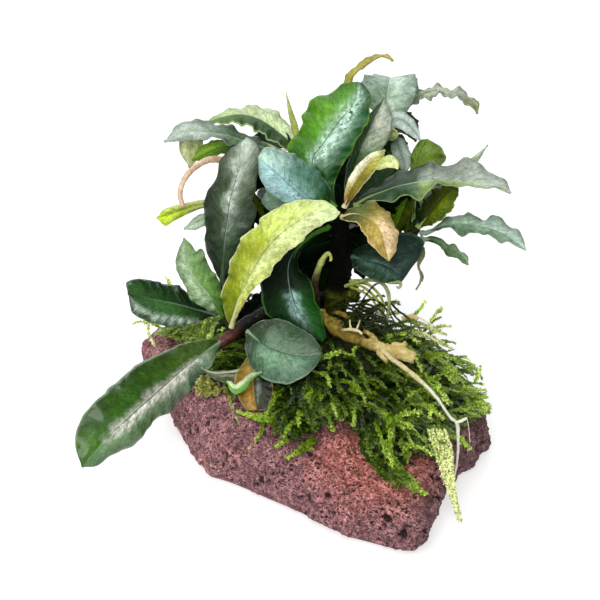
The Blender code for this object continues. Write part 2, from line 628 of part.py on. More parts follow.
        [(251, 353, -18), (251, 369, -13.5), (240, 381, -9.5), (225, 380, -10.5), (209, 375, -13.5)],
        [(255, 353, -17.5), (255, 368, -14.5), (240, 371, -15), (225, 371, -15.5),
         (206, 368, -15.5)],
        {"along": 10}),
    "old_leaf": (
        BROWN,
        [(266, 326, -24), (267, 345, -18.5), (264, 364, -12.5), (258, 380, -9), (256, 390, -6.5),
         (256, 400, -4.5), (255, 411, -3.5)],
        [(265, 345, -18.5), (262, 364, -12.5), (248, 383, -8), (242, 396, -6), (241, 407, -4)],
        [(269, 345, -18), (266, 365, -12), (266, 382, -7.5), (270, 396, -4.5), (266, 408, -3.5)],
        {"along": 11}),
    "back_leaf_1": (
        DARK,
        [(338, 211, -19.5), (330, 204, -26), (318, 196, -33), (300, 190, -42), (282, 192, -52), (262, 206, -62)],
        [(318, 210, -33), (300, 212, -42), (280, 216, -53), (264, 220, -60)],
        [(312, 184, -36), (290, 172, -45), (270, 176, -55), (258, 192, -61)],
        {"across": 4}),
    "back_leaf_2": (
        MID,
        [(344, 214, -20), (348, 209, -28), (360, 186, -37), (370, 165, -46), (376, 160, -56), (380, 170, -66)],
        [(355, 178, -34), (352, 160, -44), (358, 150, -56), (370, 158, -64)],
        [(374, 188, -36), (386, 176, -46), (394, 166, -56), (392, 168, -64)],
        {"across": 4}),
    "back_leaf_3": (
        MID,
        [(411, 229, -26), (413, 218, -30), (419, 207, -35), (430, 198, -42), (440, 196, -52), (448, 204, -60)],
        [(412, 206, -34), (420, 186, -42), (434, 178, -52), (446, 190, -58)],
        [(426, 218, -34), (440, 212, -42), (450, 206, -52), (454, 206, -58)],
        {"across": 4}),
    "back_leaf_4": (
        DARK,
        [(222, 285, -25.5), (222, 274, -29), (222, 260, -34), (226, 240, -44), (232, 226, -54), (240, 222, -64)],
        [(212, 262, -33), (210, 240, -43), (214, 222, -54), (228, 216, -62)],
        [(234, 262, -35), (244, 244, -45), (250, 232, -55), (250, 224, -62)],
        {"across": 4}),
    "back_leaf_5": (
        DARK,
        [(339, 219, -20.5), (334, 224, -27), (324, 232, -33), (316, 246, -42), (312, 264, -51), (314, 286, -57)],
        [(332, 238, -33), (334, 256, -42), (332, 272, -50), (324, 284, -55)],
        [(316, 222, -34), (300, 232, -43), (294, 254, -52), (300, 276, -56)],
        {"across": 4}),
    "back_leaf_6": (
        DARK,
        [(344, 222, -21), (351, 227, -27), (364, 230, -33), (378, 236, -42), (390, 248, -50), (398, 262, -56)],
        [(366, 220, -34), (386, 218, -43), (402, 232, -51), (406, 250, -55)],
        [(356, 240, -32), (366, 254, -41), (376, 264, -49), (388, 266, -55)],
        {"across": 4}),
}

for old in list(bpy.data.objects):
    bpy.data.objects.remove(old, do_unlink=True)
for old in list(bpy.data.collections):
    bpy.data.collections.remove(old)
parts = bpy.data.collections.new("bucephalandra_on_stone")
bpy.context.scene.collection.children.link(parts)
cutters = bpy.data.collections.new("cutters")
bpy.context.scene.collection.children.link(cutters)

make_stone()
moss = make_moss()

# The moss has grown round the foot of the trunk
foot = [(x, y, near, radius + 0.5) for x, y, near, radius in STEMS["trunk"][:3]]
foot.insert(0, (327, 332, -38, 3.3))
hollow = tube("trunk_hollow", foot, (0.5, 0.5, 0.5), count=6)
parts.objects.unlink(hollow)
cutters.objects.link(hollow)
hollow.hide_render = True
hollow.display_type = "WIRE"
cut = moss.modifiers.new("trunk hollow", "BOOLEAN")
cut.operation = "DIFFERENCE"
cut.solver = "EXACT"
cut.object = hollow

STEM_COLOUR = (0.28, 0.2, 0.08)
ROOT_COLOUR = (0.6, 0.5, 0.28)
stem_axes = []
for name, rows in STEMS.items():
    tube(name, rows, STEM_COLOUR)
    stem_axes += axis_of(rows)
for name, rows in ROOTS.items():
    tube(name, rows, ROOT_COLOUR, sides=6, count=12)
    stem_axes += axis_of(rows)
for name, spec in LEAVES.items():
    make_leaf(name, spec, stem_axes)
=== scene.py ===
"""The looks of a bucephalandra plant that has grown on to a mossy lava stone.

Leaves, stems and roots are laid out on the same front sheet as the solids: sheet steps are a
quarter of a millimetre, x to the right and y down, and the third number of a point is how many
millimetres it stands in front of the sheet. place() turns a sheet point into the part's space.
"""

import math
import random

import bmesh
import bpy
from mathutils import Matrix, Vector, noise
from mathutils.bvhtree import BVHTree


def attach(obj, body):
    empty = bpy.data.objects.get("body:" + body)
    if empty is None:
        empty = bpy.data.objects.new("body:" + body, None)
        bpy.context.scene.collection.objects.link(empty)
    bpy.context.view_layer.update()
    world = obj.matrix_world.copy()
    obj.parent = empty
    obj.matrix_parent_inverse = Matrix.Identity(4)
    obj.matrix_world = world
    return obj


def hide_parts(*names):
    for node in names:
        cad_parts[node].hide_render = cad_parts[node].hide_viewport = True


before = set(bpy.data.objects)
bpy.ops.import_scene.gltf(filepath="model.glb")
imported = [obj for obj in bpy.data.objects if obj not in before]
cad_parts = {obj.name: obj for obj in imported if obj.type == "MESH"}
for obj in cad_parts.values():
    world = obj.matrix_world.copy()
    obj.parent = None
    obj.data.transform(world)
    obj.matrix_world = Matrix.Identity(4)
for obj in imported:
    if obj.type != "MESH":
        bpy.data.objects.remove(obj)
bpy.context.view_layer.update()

MM = 0.001
scene = bpy.context.scene

# The layout sheet and the viewer it faces
SHEET_STEP = 0.25
SHEET_MIDDLE = 300.0
VIEW_RISE = math.radians(30.0)
VIEW_DISTANCE = 380.0
VIEW_CENTRE = Vector((-2.0, -5.0, 45.0))
VIEW_WIDTH = 150.0
SENSOR = 36.0
SHEET_RIGHT = Vector((1.0, 0.0, 0.0))
SHEET_UP = Vector((0.0, math.sin(VIEW_RISE), math.cos(VIEW_RISE)))
SHEET_IN = Vector((0.0, math.cos(VIEW_RISE), -math.sin(VIEW_RISE)))


def place(x, y, near):
    """The point seen at x, y on the sheet, standing this many mm in front of it, in mm."""
    across = (x - SHEET_MIDDLE) * SHEET_STEP * SHEET_RIGHT
    upward = (SHEET_MIDDLE - y) * SHEET_STEP * SHEET_UP
    shrink = (VIEW_DISTANCE - near) / VIEW_DISTANCE
    return VIEW_CENTRE + (across + upward) * shrink - near * SHEET_IN


def sheet_spot(here):
    """Where on the sheet a point in mm is seen."""
    off = here - VIEW_CENTRE
    shrink = (VIEW_DISTANCE + off.dot(SHEET_IN)) / VIEW_DISTANCE * SHEET_STEP
    return SHEET_MIDDLE + off.x / shrink, SHEET_MIDDLE - off.dot(SHEET_UP) / shrink


def smooth_path(points, count):
    """The count points that share out evenly a smooth curve through the given points."""
    ends = [points[0] * 2 - points[1]] + points + [points[-1] * 2 - points[-2]]
    fine = []
    for a, b, c, d in zip(ends, ends[1:], ends[2:], ends[3:]):
        for step in range(16):
            t = step / 16
            fine.append(
                0.5 * (2 * b + (c - a) * t + (2 * a - 5 * b + 4 * c - d) * t**2
                       + (3 * b - a - 3 * c + d) * t**3)
            )
    fine.append(points[-1].copy())
    run = [0.0]
    for a, b in zip(fine, fine[1:]):
        run.append(run[-1] + (b - a).length)
    made = []
    at = 0
    for index in range(count):
        want = run[-1] * index / (count - 1)
        while at < len(fine) - 2 and run[at + 1] < want:
            at += 1
        share = (want - run[at]) / max(run[at + 1] - run[at], 1e-9)
        made.append(fine[at].lerp(fine[at + 1], min(max(share, 0.0), 1.0)))
    return made


def ramp(pairs, at):
    """The value at this place on straight lines through the given pairs."""
    for (x0, y0), (x1, y1) in zip(pairs, pairs[1:]):
        if at <= x1:
            return y0 + (y1 - y0) * (at - x0) / (x1 - x0)
    return pairs[-1][1]


def ease(low, high, value):
    share = min(max((value - low) / (high - low), 0.0), 1.0)
    return share * share * (3.0 - 2.0 * share)


# Node helpers
def add(tree, kind, inputs=(), **settings):
    """A node of this kind, with its inputs set or linked by name or number."""
    made = tree.nodes.new(kind)
    for key, value in settings.items():
        setattr(made, key, value)
    for key, value in dict(inputs).items():
        socket = made.inputs[key]
        if isinstance(value, bpy.types.NodeSocket):
            tree.links.new(value, socket)
        else:
            socket.default_value = value
    return made


def maths(tree, operation, *values):
    return add(tree, "ShaderNodeMath", enumerate(values), operation=operation).outputs[0]


def rise(tree, value, low, high, start=0.0, end=1.0):
    """Eases from start to end while the value goes from low to high."""
    made = add(
        tree, "ShaderNodeMapRange",
        {"Value": value, "From Min": low, "From Max": high, "To Min": start, "To Max": end},
        interpolation_type="SMOOTHSTEP",
    )
    return made.outputs[0]


def blended(tree, share, first, second, way="MIX"):
    made = tree.nodes.new("ShaderNodeMix")
    made.data_type = "RGBA"
    made.blend_type = way
    for index, value in ((0, share), (6, first), (7, second)):
        if isinstance(value, bpy.types.NodeSocket):
            tree.links.new(value, made.inputs[index])
        elif index == 0:
            made.inputs[index].default_value = value
        else:
            made.inputs[index].default_value = (*value, 1.0)
    return made.outputs[2]


def grain(tree, where, size, detail=3.0, rough=0.55):
    """Noise whose features are about this many mm across."""
    made = add(
        tree, "ShaderNodeTexNoise",
        {"Vector": where, "Scale": 1.0 / (size * MM), "Detail": detail, "Roughness": rough},
    )
    return made.outputs[0]


def colour_run(tree, value, stops):
    made = add(tree, "ShaderNodeValToRGB", {0: value})
    marks = made.color_ramp.elements
    while len(marks) < len(stops):
        marks.new(0.5)
    for mark, (at, colour) in zip(marks, stops):
        mark.position = at
        mark.color = (*colour, 1.0)
    return made.outputs[0]


def new_paint(name):
    paint = bpy.data.materials.new(name)
    paint.use_nodes = True
    tree = paint.node_tree
    return paint, tree, tree.nodes["Principled BSDF"], tree.nodes["Material Output"]


def bumped(tree, shader, height, depth, strength=1.0):
    made = add(
        tree, "ShaderNodeBump",
        {"Height": height, "Distance": depth * MM, "Strength": strength},
    )
    tree.links.new(made.outputs[0], shader.inputs["Normal"])


def let_light_through(tree, shader, output, colour, share):
    """Thin living tissue glows a little where the light comes from behind."""
    glow = add(tree, "ShaderNodeBsdfTranslucent", {"Color": colour})
    both = add(tree, "ShaderNodeMixShader", {0: share, 1: shader.outputs[0], 2: glow.outputs[0]})
    tree.links.new(both.outputs[0], output.inputs["Surface"])


def leaf_paint(name, look):
    """The upper side of a blade: each half runs through its own colours from base to tip."""
    paint, tree, shader, output = new_paint(name)
    spot = add(tree, "ShaderNodeUVMap", uv_map="blade").outputs[0]
    parts = add(tree, "ShaderNodeSeparateXYZ", {0: spot}).outputs
    across, along = parts[0], parts[1]
    where = add(tree, "ShaderNodeTexCoord").outputs["Object"]
    side = maths(tree, "SUBTRACT", across, 0.5)
    reach = maths(tree, "MULTIPLY", maths(tree, "ABSOLUTE", side), 2.0)
    cloud = grain(tree, where, look["cloud"])
    wander = maths(tree, "MULTIPLY", maths(tree, "SUBTRACT", cloud, 0.5), 0.5)
    drift = maths(tree, "ADD", along, wander)
    left = colour_run(tree, drift, look["left"])
    right = colour_run(tree, drift, look["right"])
    half = maths(tree, "ADD", side, maths(tree, "MULTIPLY", wander, 0.1))
    half = rise(tree, half, -look["soft"], look["soft"])
    colour = blended(tree, half, left, right)
    # Veins that leave the midrib and lean towards the tip, and faint streaks along them
    lean = maths(tree, "SUBTRACT", along, maths(tree, "MULTIPLY", reach, 0.16))
    lean = maths(tree, "ADD", lean, maths(tree, "MULTIPLY", wander, 0.16))
    streaks = add(
        tree, "ShaderNodeCombineXYZ",
        {0: maths(tree, "MULTIPLY", lean, 36.0), 1: maths(tree, "MULTIPLY", side, 8.0)},
    ).outputs[0]
    streak = add(
        tree, "ShaderNodeTexNoise", {"Vector": streaks, "Scale": 1.0, "Detail": 3.0}
    ).outputs[0]
    waves = maths(tree, "MULTIPLY", maths(tree, "ADD", lean, maths(tree, "MULTIPLY", streak, 0.03)),
                  look["veins"] * math.tau)
    vein = rise(tree, maths(tree, "COSINE", waves), 0.84, 1.0)
    crinkle = grain(tree, where, 1.5, 4.0, 0.62)
    pebble = grain(tree, where, 0.42, 3.0, 0.65)
    # A pale painted sheen, standing for a highlight, lies beside the midrib, mottled by the crinkles
    painted_light_at = maths(tree, "SUBTRACT", side, look["painted_light_side"])
    painted_light_off = maths(tree, "ABSOLUTE", maths(tree, "ADD", painted_light_at, maths(tree, "MULTIPLY", wander, 0.6)))
    painted_light = rise(tree, painted_light_off, look["painted_light_width"], 0.0, 0.0, look["painted_light_share"])
    start, end = look["painted_light_run"]
    painted_light = maths(tree, "MULTIPLY", painted_light, rise(tree, drift, start - 0.08, start + 0.12))
    painted_light = maths(tree, "MULTIPLY", painted_light, rise(tree, drift, end + 0.08, end - 0.12))
    painted_light = maths(tree, "MULTIPLY", painted_light, rise(tree, crinkle, 0.3, 0.6, 0.55, 1.15))
    painted_light = maths(tree, "MULTIPLY", painted_light, rise(tree, streak, 0.3, 0.6, 0.7, 1.1))
    colour = blended(tree, painted_light, colour, look["painted_light"])
    colour = blended(tree, maths(tree, "MULTIPLY", vein, look["vein_share"]), colour, look["vein"])
    tone = rise(tree, streak, 0.28, 0.7, 0.84, 1.16)
    tone = maths(tree, "MULTIPLY", tone, rise(tree, cloud, 0.32, 0.68, 0.84, 1.14))
    tone = maths(tree, "MULTIPLY", tone, rise(tree, crinkle, 0.32, 0.68, 0.8, 1.18))
    tone = maths(tree, "MULTIPLY", tone, rise(tree, pebble, 0.32, 0.68, 0.82, 1.18))
    # Painted shade just inside the margins, where the blade turns away from the light
    tone = maths(tree, "MULTIPLY", tone, rise(tree, reach, 0.45, 0.9, 1.08, look["margin_shade"]))
    shade = add(tree, "ShaderNodeCombineColor", {0: tone, 1: tone, 2: tone}).outputs[0]
    colour = blended(tree, 1.0, colour, shade, "MULTIPLY")
    # The midrib: a line in the rib colour, which where it is dark is painted shade in the groove, and on one
    # side a pale lip, a painted highlight
    groove = rise(tree, reach, 0.055, 0.015)
    groove = maths(tree, "MULTIPLY", groove, rise(tree, along, 0.97, 0.6, 0.2, 0.85))
    colour = blended(tree, groove, colour, look["rib"])
    painted_lip_highlight = maths(tree, "ABSOLUTE", maths(tree, "SUBTRACT", side, 0.034))
    painted_lip_highlight = maths(tree, "MULTIPLY", rise(tree, painted_lip_highlight, 0.016, 0.004), rise(tree, along, 0.9, 0.5, 0.0, 0.5))
    colour = blended(tree, painted_lip_highlight, colour, look["painted_light"])
    # A thin line along the margins in the edge colour: where that colour is pale, a painted highlight on the
    # rim
    margin = rise(tree, maths(tree, "ADD", reach, maths(tree, "MULTIPLY", wander, 0.15)), 0.93, 0.995)
    colour = blended(tree, maths(tree, "MULTIPLY", margin, 0.8), colour, look["edge"])
    # Dark flecks break up the painted sheen, only where it lies
    fleck = rise(tree, grain(tree, where, 1.5, 1.0), 0.63, 0.67)
    fleck = maths(tree, "MULTIPLY", fleck, rise(tree, grain(tree, where, 6.0, 1.0), 0.46, 0.54))
    fleck = maths(tree, "MULTIPLY", maths(tree, "MULTIPLY", fleck, look["flecks"]), painted_light)
    colour = blended(tree, fleck, colour, look["fleck"])
    tree.links.new(colour, shader.inputs["Base Color"])
    dull = rise(tree, crinkle, 0.3, 0.7, look["rough"] - 0.08, look["rough"] + 0.1)
    tree.links.new(dull, shader.inputs["Roughness"])
    shader.inputs["Specular IOR Level"].default_value = look["shine"]
    shader.inputs["Coat Weight"].default_value = look["wet"]
    shader.inputs["Coat Roughness"].default_value = 0.1
    height = maths(tree, "ADD", maths(tree, "MULTIPLY", streak, 0.5), crinkle)
    height = maths(tree, "ADD", height, maths(tree, "MULTIPLY", pebble, 0.4))
    height = maths(tree, "SUBTRACT", height, maths(tree, "MULTIPLY", vein, 0.3))
    bumped(tree, shader, height, 0.3, 0.9)
    let_light_through(tree, shader, output, colour, look["glow"])
    return paint


def plain_paint(name, light, dark, size, rough, wet=0.0, depth=0.1, glow=0.0, change=None, shine=0.35):
    """Two tones that cloud into each other. They can change along an axis, from one mm to another."""
    paint, tree, shader, output = new_paint(name)
    where = add(tree, "ShaderNodeTexCoord").outputs["Object"]
    cloud = grain(tree, where, size)
    small = grain(tree, where, size * 0.14, 2.0)
    if change:
        axis, start, end, far_light, far_dark = change
        at = add(tree, "ShaderNodeSeparateXYZ", {0: where}).outputs[axis]
        at = maths(tree, "ADD", at, maths(tree, "MULTIPLY", cloud, 0.003))
        share = rise(tree, at, (start + 1.5) * MM, (end + 1.5) * MM)
        light = blended(tree, share, light, far_light)
        dark = blended(tree, share, dark, far_dark)
    mixed = maths(tree, "ADD", maths(tree, "MULTIPLY", cloud, 0.65), maths(tree, "MULTIPLY", small, 0.35))
    colour = blended(tree, rise(tree, mixed, 0.35, 0.65), dark, light)
    tree.links.new(colour, shader.inputs["Base Color"])
    tree.links.new(rise(tree, small, 0.3, 0.7, rough - 0.08, rough + 0.08), shader.inputs["Roughness"])
    shader.inputs["Specular IOR Level"].default_value = shine
    shader.inputs["Coat Weight"].default_value = wet
    shader.inputs["Coat Roughness"].default_value = 0.2
    bumped(tree, shader, small, depth)
    if glow:
        let_light_through(tree, shader, output, colour, glow)
    return paint


# Making pieces
plant_points = []
plant_faces = []


def show(name, mesh, paints, slot, *nodes):
    """Puts a finished mesh, in metres, on the object in place of these solids."""
    if slot.startswith("leaf") or slot in ("stem", "root"):
        first = len(plant_points)
        plant_points.extend(corner.co / MM for corner in mesh.vertices)
        plant_faces.extend([first + i for i in face.vertices] for face in mesh.polygons)
    piece = bpy.data.objects.new(name, mesh)
    scene.collection.objects.link(piece)
    mesh.materials.clear()
    for paint in paints:
        mesh.materials.append(paint)
    mesh.shade_smooth()
    if nodes:
        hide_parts(*nodes)
    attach(piece, "root")
    return piece


def settled(obj):
    """The object's mesh with its modifiers applied. The object itself goes."""
    graph = bpy.context.evaluated_depsgraph_get()
    mesh = bpy.data.meshes.new_from_object(obj.evaluated_get(graph))
    bpy.data.objects.remove(obj, do_unlink=True)
    return mesh


def tube_mesh(path, radii, segments=10):
    """A round rod in mm along a path, with its own radius at each point."""
    line = bpy.data.curves.new("rod", "CURVE")
    line.dimensions = "3D"
    line.bevel_depth = 1.0
    line.bevel_resolution = max(segments // 2 - 2, 0)
    line.use_fill_caps = True
    spline = line.splines.new("POLY")
    spline.points.add(len(path) - 1)
    for point, here, radius in zip(spline.points, path, radii):
        point.co = (*here, 1.0)
        point.radius = radius
    rod = bpy.data.objects.new("rod", line)
    scene.collection.objects.link(rod)
    bpy.context.view_layer.update()
    mesh = settled(rod)
    bpy.data.curves.remove(line)
    return mesh


def blade_rows(rib, left, right, look, rows, columns):
    """Points of a blade in mm, from base to tip and from its left edge to its right."""
    middle = smooth_path([place(*p) for p in rib], rows)
    sides = [smooth_path([place(*p) for p in [rib[0]] + edge + [rib[-1]]], rows)
             for edge in (left, right)]
    made = []
    for index, here in enumerate(middle):
        t = index / (rows - 1)
        ahead = middle[min(index + 1, rows - 1)] - middle[max(index - 1, 0)]
        span = sides[1][index] - sides[0][index]
        if span.length < 0.8:
            span = ahead.cross(SHEET_IN) * -1.0
        face = span.cross(ahead).normalized()
        away = span.normalized()
        ends = []
        for edge, sign in ((sides[0][index], -1.0), (sides[1][index], 1.0)):
            reach = edge - here
            if reach.length < look["least"] or reach.dot(away) * sign < 0.1:
                reach = away * sign * look["least"]
            ends.append(reach)
        wide = (ends[0].length + ends[1].length) / 2
        calm = math.sin(math.pi * min(t * 1.04, 1.0)) ** 0.6 * min(wide / 2.5, 1.0)
        row = []
        for step in range(columns):
            s = 2.0 * step / (columns - 1) - 1.0
            v = math.copysign(abs(s) ** 1.25, s)
            reach = ends[0] * -v if v < 0 else ends[1] * v
            turn = look["turn"] + (1.9 if v < 0 else 0.0)
            beat = math.sin(math.tau * look["waves"] * t + turn)
            beat += 0.5 * math.sin(math.tau * look["waves"] * 2.3 * t + turn * 2.7)
            wander = noise.noise(Vector((t * 9.0, v * 1.4 + look["turn"], look["turn"] * 3.1)))
            lift = look["bulge"] * (1.0 - (2.0 * abs(v) - 1.0) ** 2) * wide
            lift += 1.3 * look["ruffle"] * calm * abs(v) ** 2.4 * beat
            lift += look["ruffle"] * 0.9 * calm * abs(v) * wander
            lift -= 0.22 * math.exp(-((v * wide / 0.38) ** 2)) * min(wide / 2.0, 1.0)
            fine = noise.noise(Vector((t * 16.0, turn * 2.0, 0.0))) + 0.3 * noise.noise(
                Vector((t * 34.0, turn * 5.0, 3.0)))
            lift += 0.8 * look["ruffle"] * calm * abs(v) ** 4 * fine
            frill = look["frill"] * calm * (0.4 * beat + 0.3 * fine) * abs(v) ** 3
            row.append(here + reach + away * math.copysign(frill, v) + face * lift)
        made.append(row)
    return made


BLADE_ROWS = 88
BLADE_COLUMNS = 23


def make_blade(name, slot, look, rib, left, right, *nodes):
    rows, columns = look["rows"], BLADE_COLUMNS
    points = blade_rows(rib, left, right, look, rows, columns)
    sheet = bmesh.new()
    sheet.loops.layers.uv.new("blade")
    bmesh.ops.create_grid(
        sheet, x_segments=columns - 1, y_segments=rows - 1, size=1.0, calc_uvs=True
    )
    for corner in sheet.verts:
        column = round((corner.co.x + 1.0) / 2.0 * (columns - 1))
        row = round((corner.co.y + 1.0) / 2.0 * (rows - 1))
        corner.co = points[row][column]
    mesh = bpy.data.meshes.new(name)
    sheet.to_mesh(mesh)
    sheet.free()
    wall = bpy.data.objects.new("wall", mesh)
    scene.collection.objects.link(wall)
    skin = wall.modifiers.new("wall", "SOLIDIFY")
    skin.thickness = look["thick"]
    skin.offset = -1.0
    skin.material_offset = 1
    skin.material_offset_rim = 0
    for _ in range(2):
        mesh.materials.append(None)
    bpy.context.view_layer.update()
    done = settled(wall)
    bpy.data.meshes.remove(mesh)
    # The stalk, which runs on as a ridge under the midrib
    middle = smooth_path([place(*p) for p in rib], 40)
    path = []
    radii = []
    for index, here in enumerate(middle):
        t = index / 39
        ahead = middle[min(index + 1, 39)] - middle[max(index - 1, 0)]
        row = points[min(round(t * (rows - 1)), rows - 1)]
        face = (row[-1] - row[0]).cross(ahead).normalized()
        size = ramp([(0.0, 1.0), (0.15, 0.62), (0.5, 0.36), (0.97, 0.12), (1.0, 0.1)], t)
        size *= look["stalk"]
        path.append(here - face * (look["thick"] * 0.5 + 0.25 + size * 0.5 * ease(0.05, 0.3, t)))
        radii.append(size)
    stalk = tube_mesh(path[:-1], radii[:-1])
    both = bmesh.new()
    both.from_mesh(done)
    blade_faces = len(both.faces)
    both.from_mesh(stalk)
    both.faces.ensure_lookup_table()
    for face in both.faces[blade_faces:]:
        face.material_index = 2
    bmesh.ops.scale(both, vec=(MM, MM, MM), verts=both.verts)
    both.to_mesh(done)
    both.free()
    bpy.data.meshes.remove(stalk)
    paints = [leaf_paint(name, look), UNDERSIDES[look["under"]], STALKS[look["stem"]]]
    return show(name, done, paints, slot, *nodes)


# Colours, as the light shows them in a leaf: DARKEST and DEEP are near-black for painted shade, and MIST and
# FROST are pale greys for painted sheen and rim highlights as well as for pale veins and ribs
DARKEST = (0.001, 0.003, 0.001)
DEEP = (0.001, 0.01, 0.001)
BOTTLE = (0.007, 0.036, 0.007)
GRASS = (0.035, 0.11, 0.006)
LIME = (0.11, 0.24, 0.006)
SAGE = (0.05, 0.09, 0.045)
SAGE_DARK = (0.022, 0.045, 0.018)
MIST = (0.13, 0.2, 0.14)
FROST = (0.27, 0.37, 0.28)
TEAL = (0.035, 0.11, 0.105)
SKY = (0.09, 0.19, 0.19)
OLIVE = (0.07, 0.09, 0.004)
MUSTARD = (0.25, 0.3, 0.006)
LEMON = (0.42, 0.5, 0.07)
CREAM = (0.66, 0.72, 0.28)
SAND = (0.52, 0.38, 0.11)
RUST = (0.2, 0.07, 0.02)
BARK = (0.035, 0.02, 0.007)

UNDERSIDES = {
    "green": plain_paint("green underside", (0.2, 0.3, 0.13), (0.12, 0.21, 0.08), 2.5, 0.5, 0.1, 0.08, 0.2),
    "pale": plain_paint("pale underside", (0.42, 0.52, 0.34), (0.3, 0.4, 0.24), 2.5, 0.5, 0.1, 0.08, 0.25),
    "dark": plain_paint("dark underside", (0.03, 0.06, 0.02), (0.01, 0.03, 0.008), 2.5, 0.5, 0.1, 0.08, 0.1),
    "yellow": plain_paint("yellow underside", (0.66, 0.66, 0.25), (0.5, 0.5, 0.14), 2.5, 0.5, 0.1, 0.08, 0.25),
}
STALKS = {
    "green": plain_paint("green stalk", (0.3, 0.36, 0.08), (0.16, 0.22, 0.05), 2.0, 0.4, 0.3),
    "pale": plain_paint("pale stalk", (0.5, 0.55, 0.3), (0.3, 0.38, 0.16), 2.0, 0.4, 0.3),
    "red": plain_paint("red stalk", (0.32, 0.14, 0.07), (0.2, 0.07, 0.035), 2.0, 0.4, 0.3),
    "dark": plain_paint("dark stalk", (0.02, 0.03, 0.008), (0.006, 0.012, 0.003), 2.0, 0.4, 0.3),
}

PLAIN_LEAF = {
    "left": [(0.0, BOTTLE), (0.4, BOTTLE), (1.0, SAGE_DARK)],
    "right": [(0.0, DEEP), (0.4, BOTTLE), (1.0, BOTTLE)],
    "painted_light": MIST, "painted_light_side": 0.0, "painted_light_width": 0.35, "painted_light_share": 0.5,
    "painted_light_run": (0.05, 0.95), "vein_share": 0.08, "vein": MIST, "rib": FROST, "edge": MIST,
    "fleck": BOTTLE, "flecks": 0.0, "frill": 0.25, "margin_shade": 0.72, "soft": 0.04,
    "veins": 13.0, "cloud": 7.0, "rough": 0.36, "wet": 0.2, "shine": 0.3, "glow": 0.1,
    "bulge": 0.05, "ruffle": 0.35, "waves": 5.0, "turn": 0.0, "thick": 0.32, "least": 0.35,
    "stalk": 0.8, "under": "green", "stem": "green", "rows": BLADE_ROWS,
}


def two(low, high):
    """A run from a low colour at the base to a high one over the rest of the blade."""
    return [(0.0, low), (0.35, high), (1.0, high)]


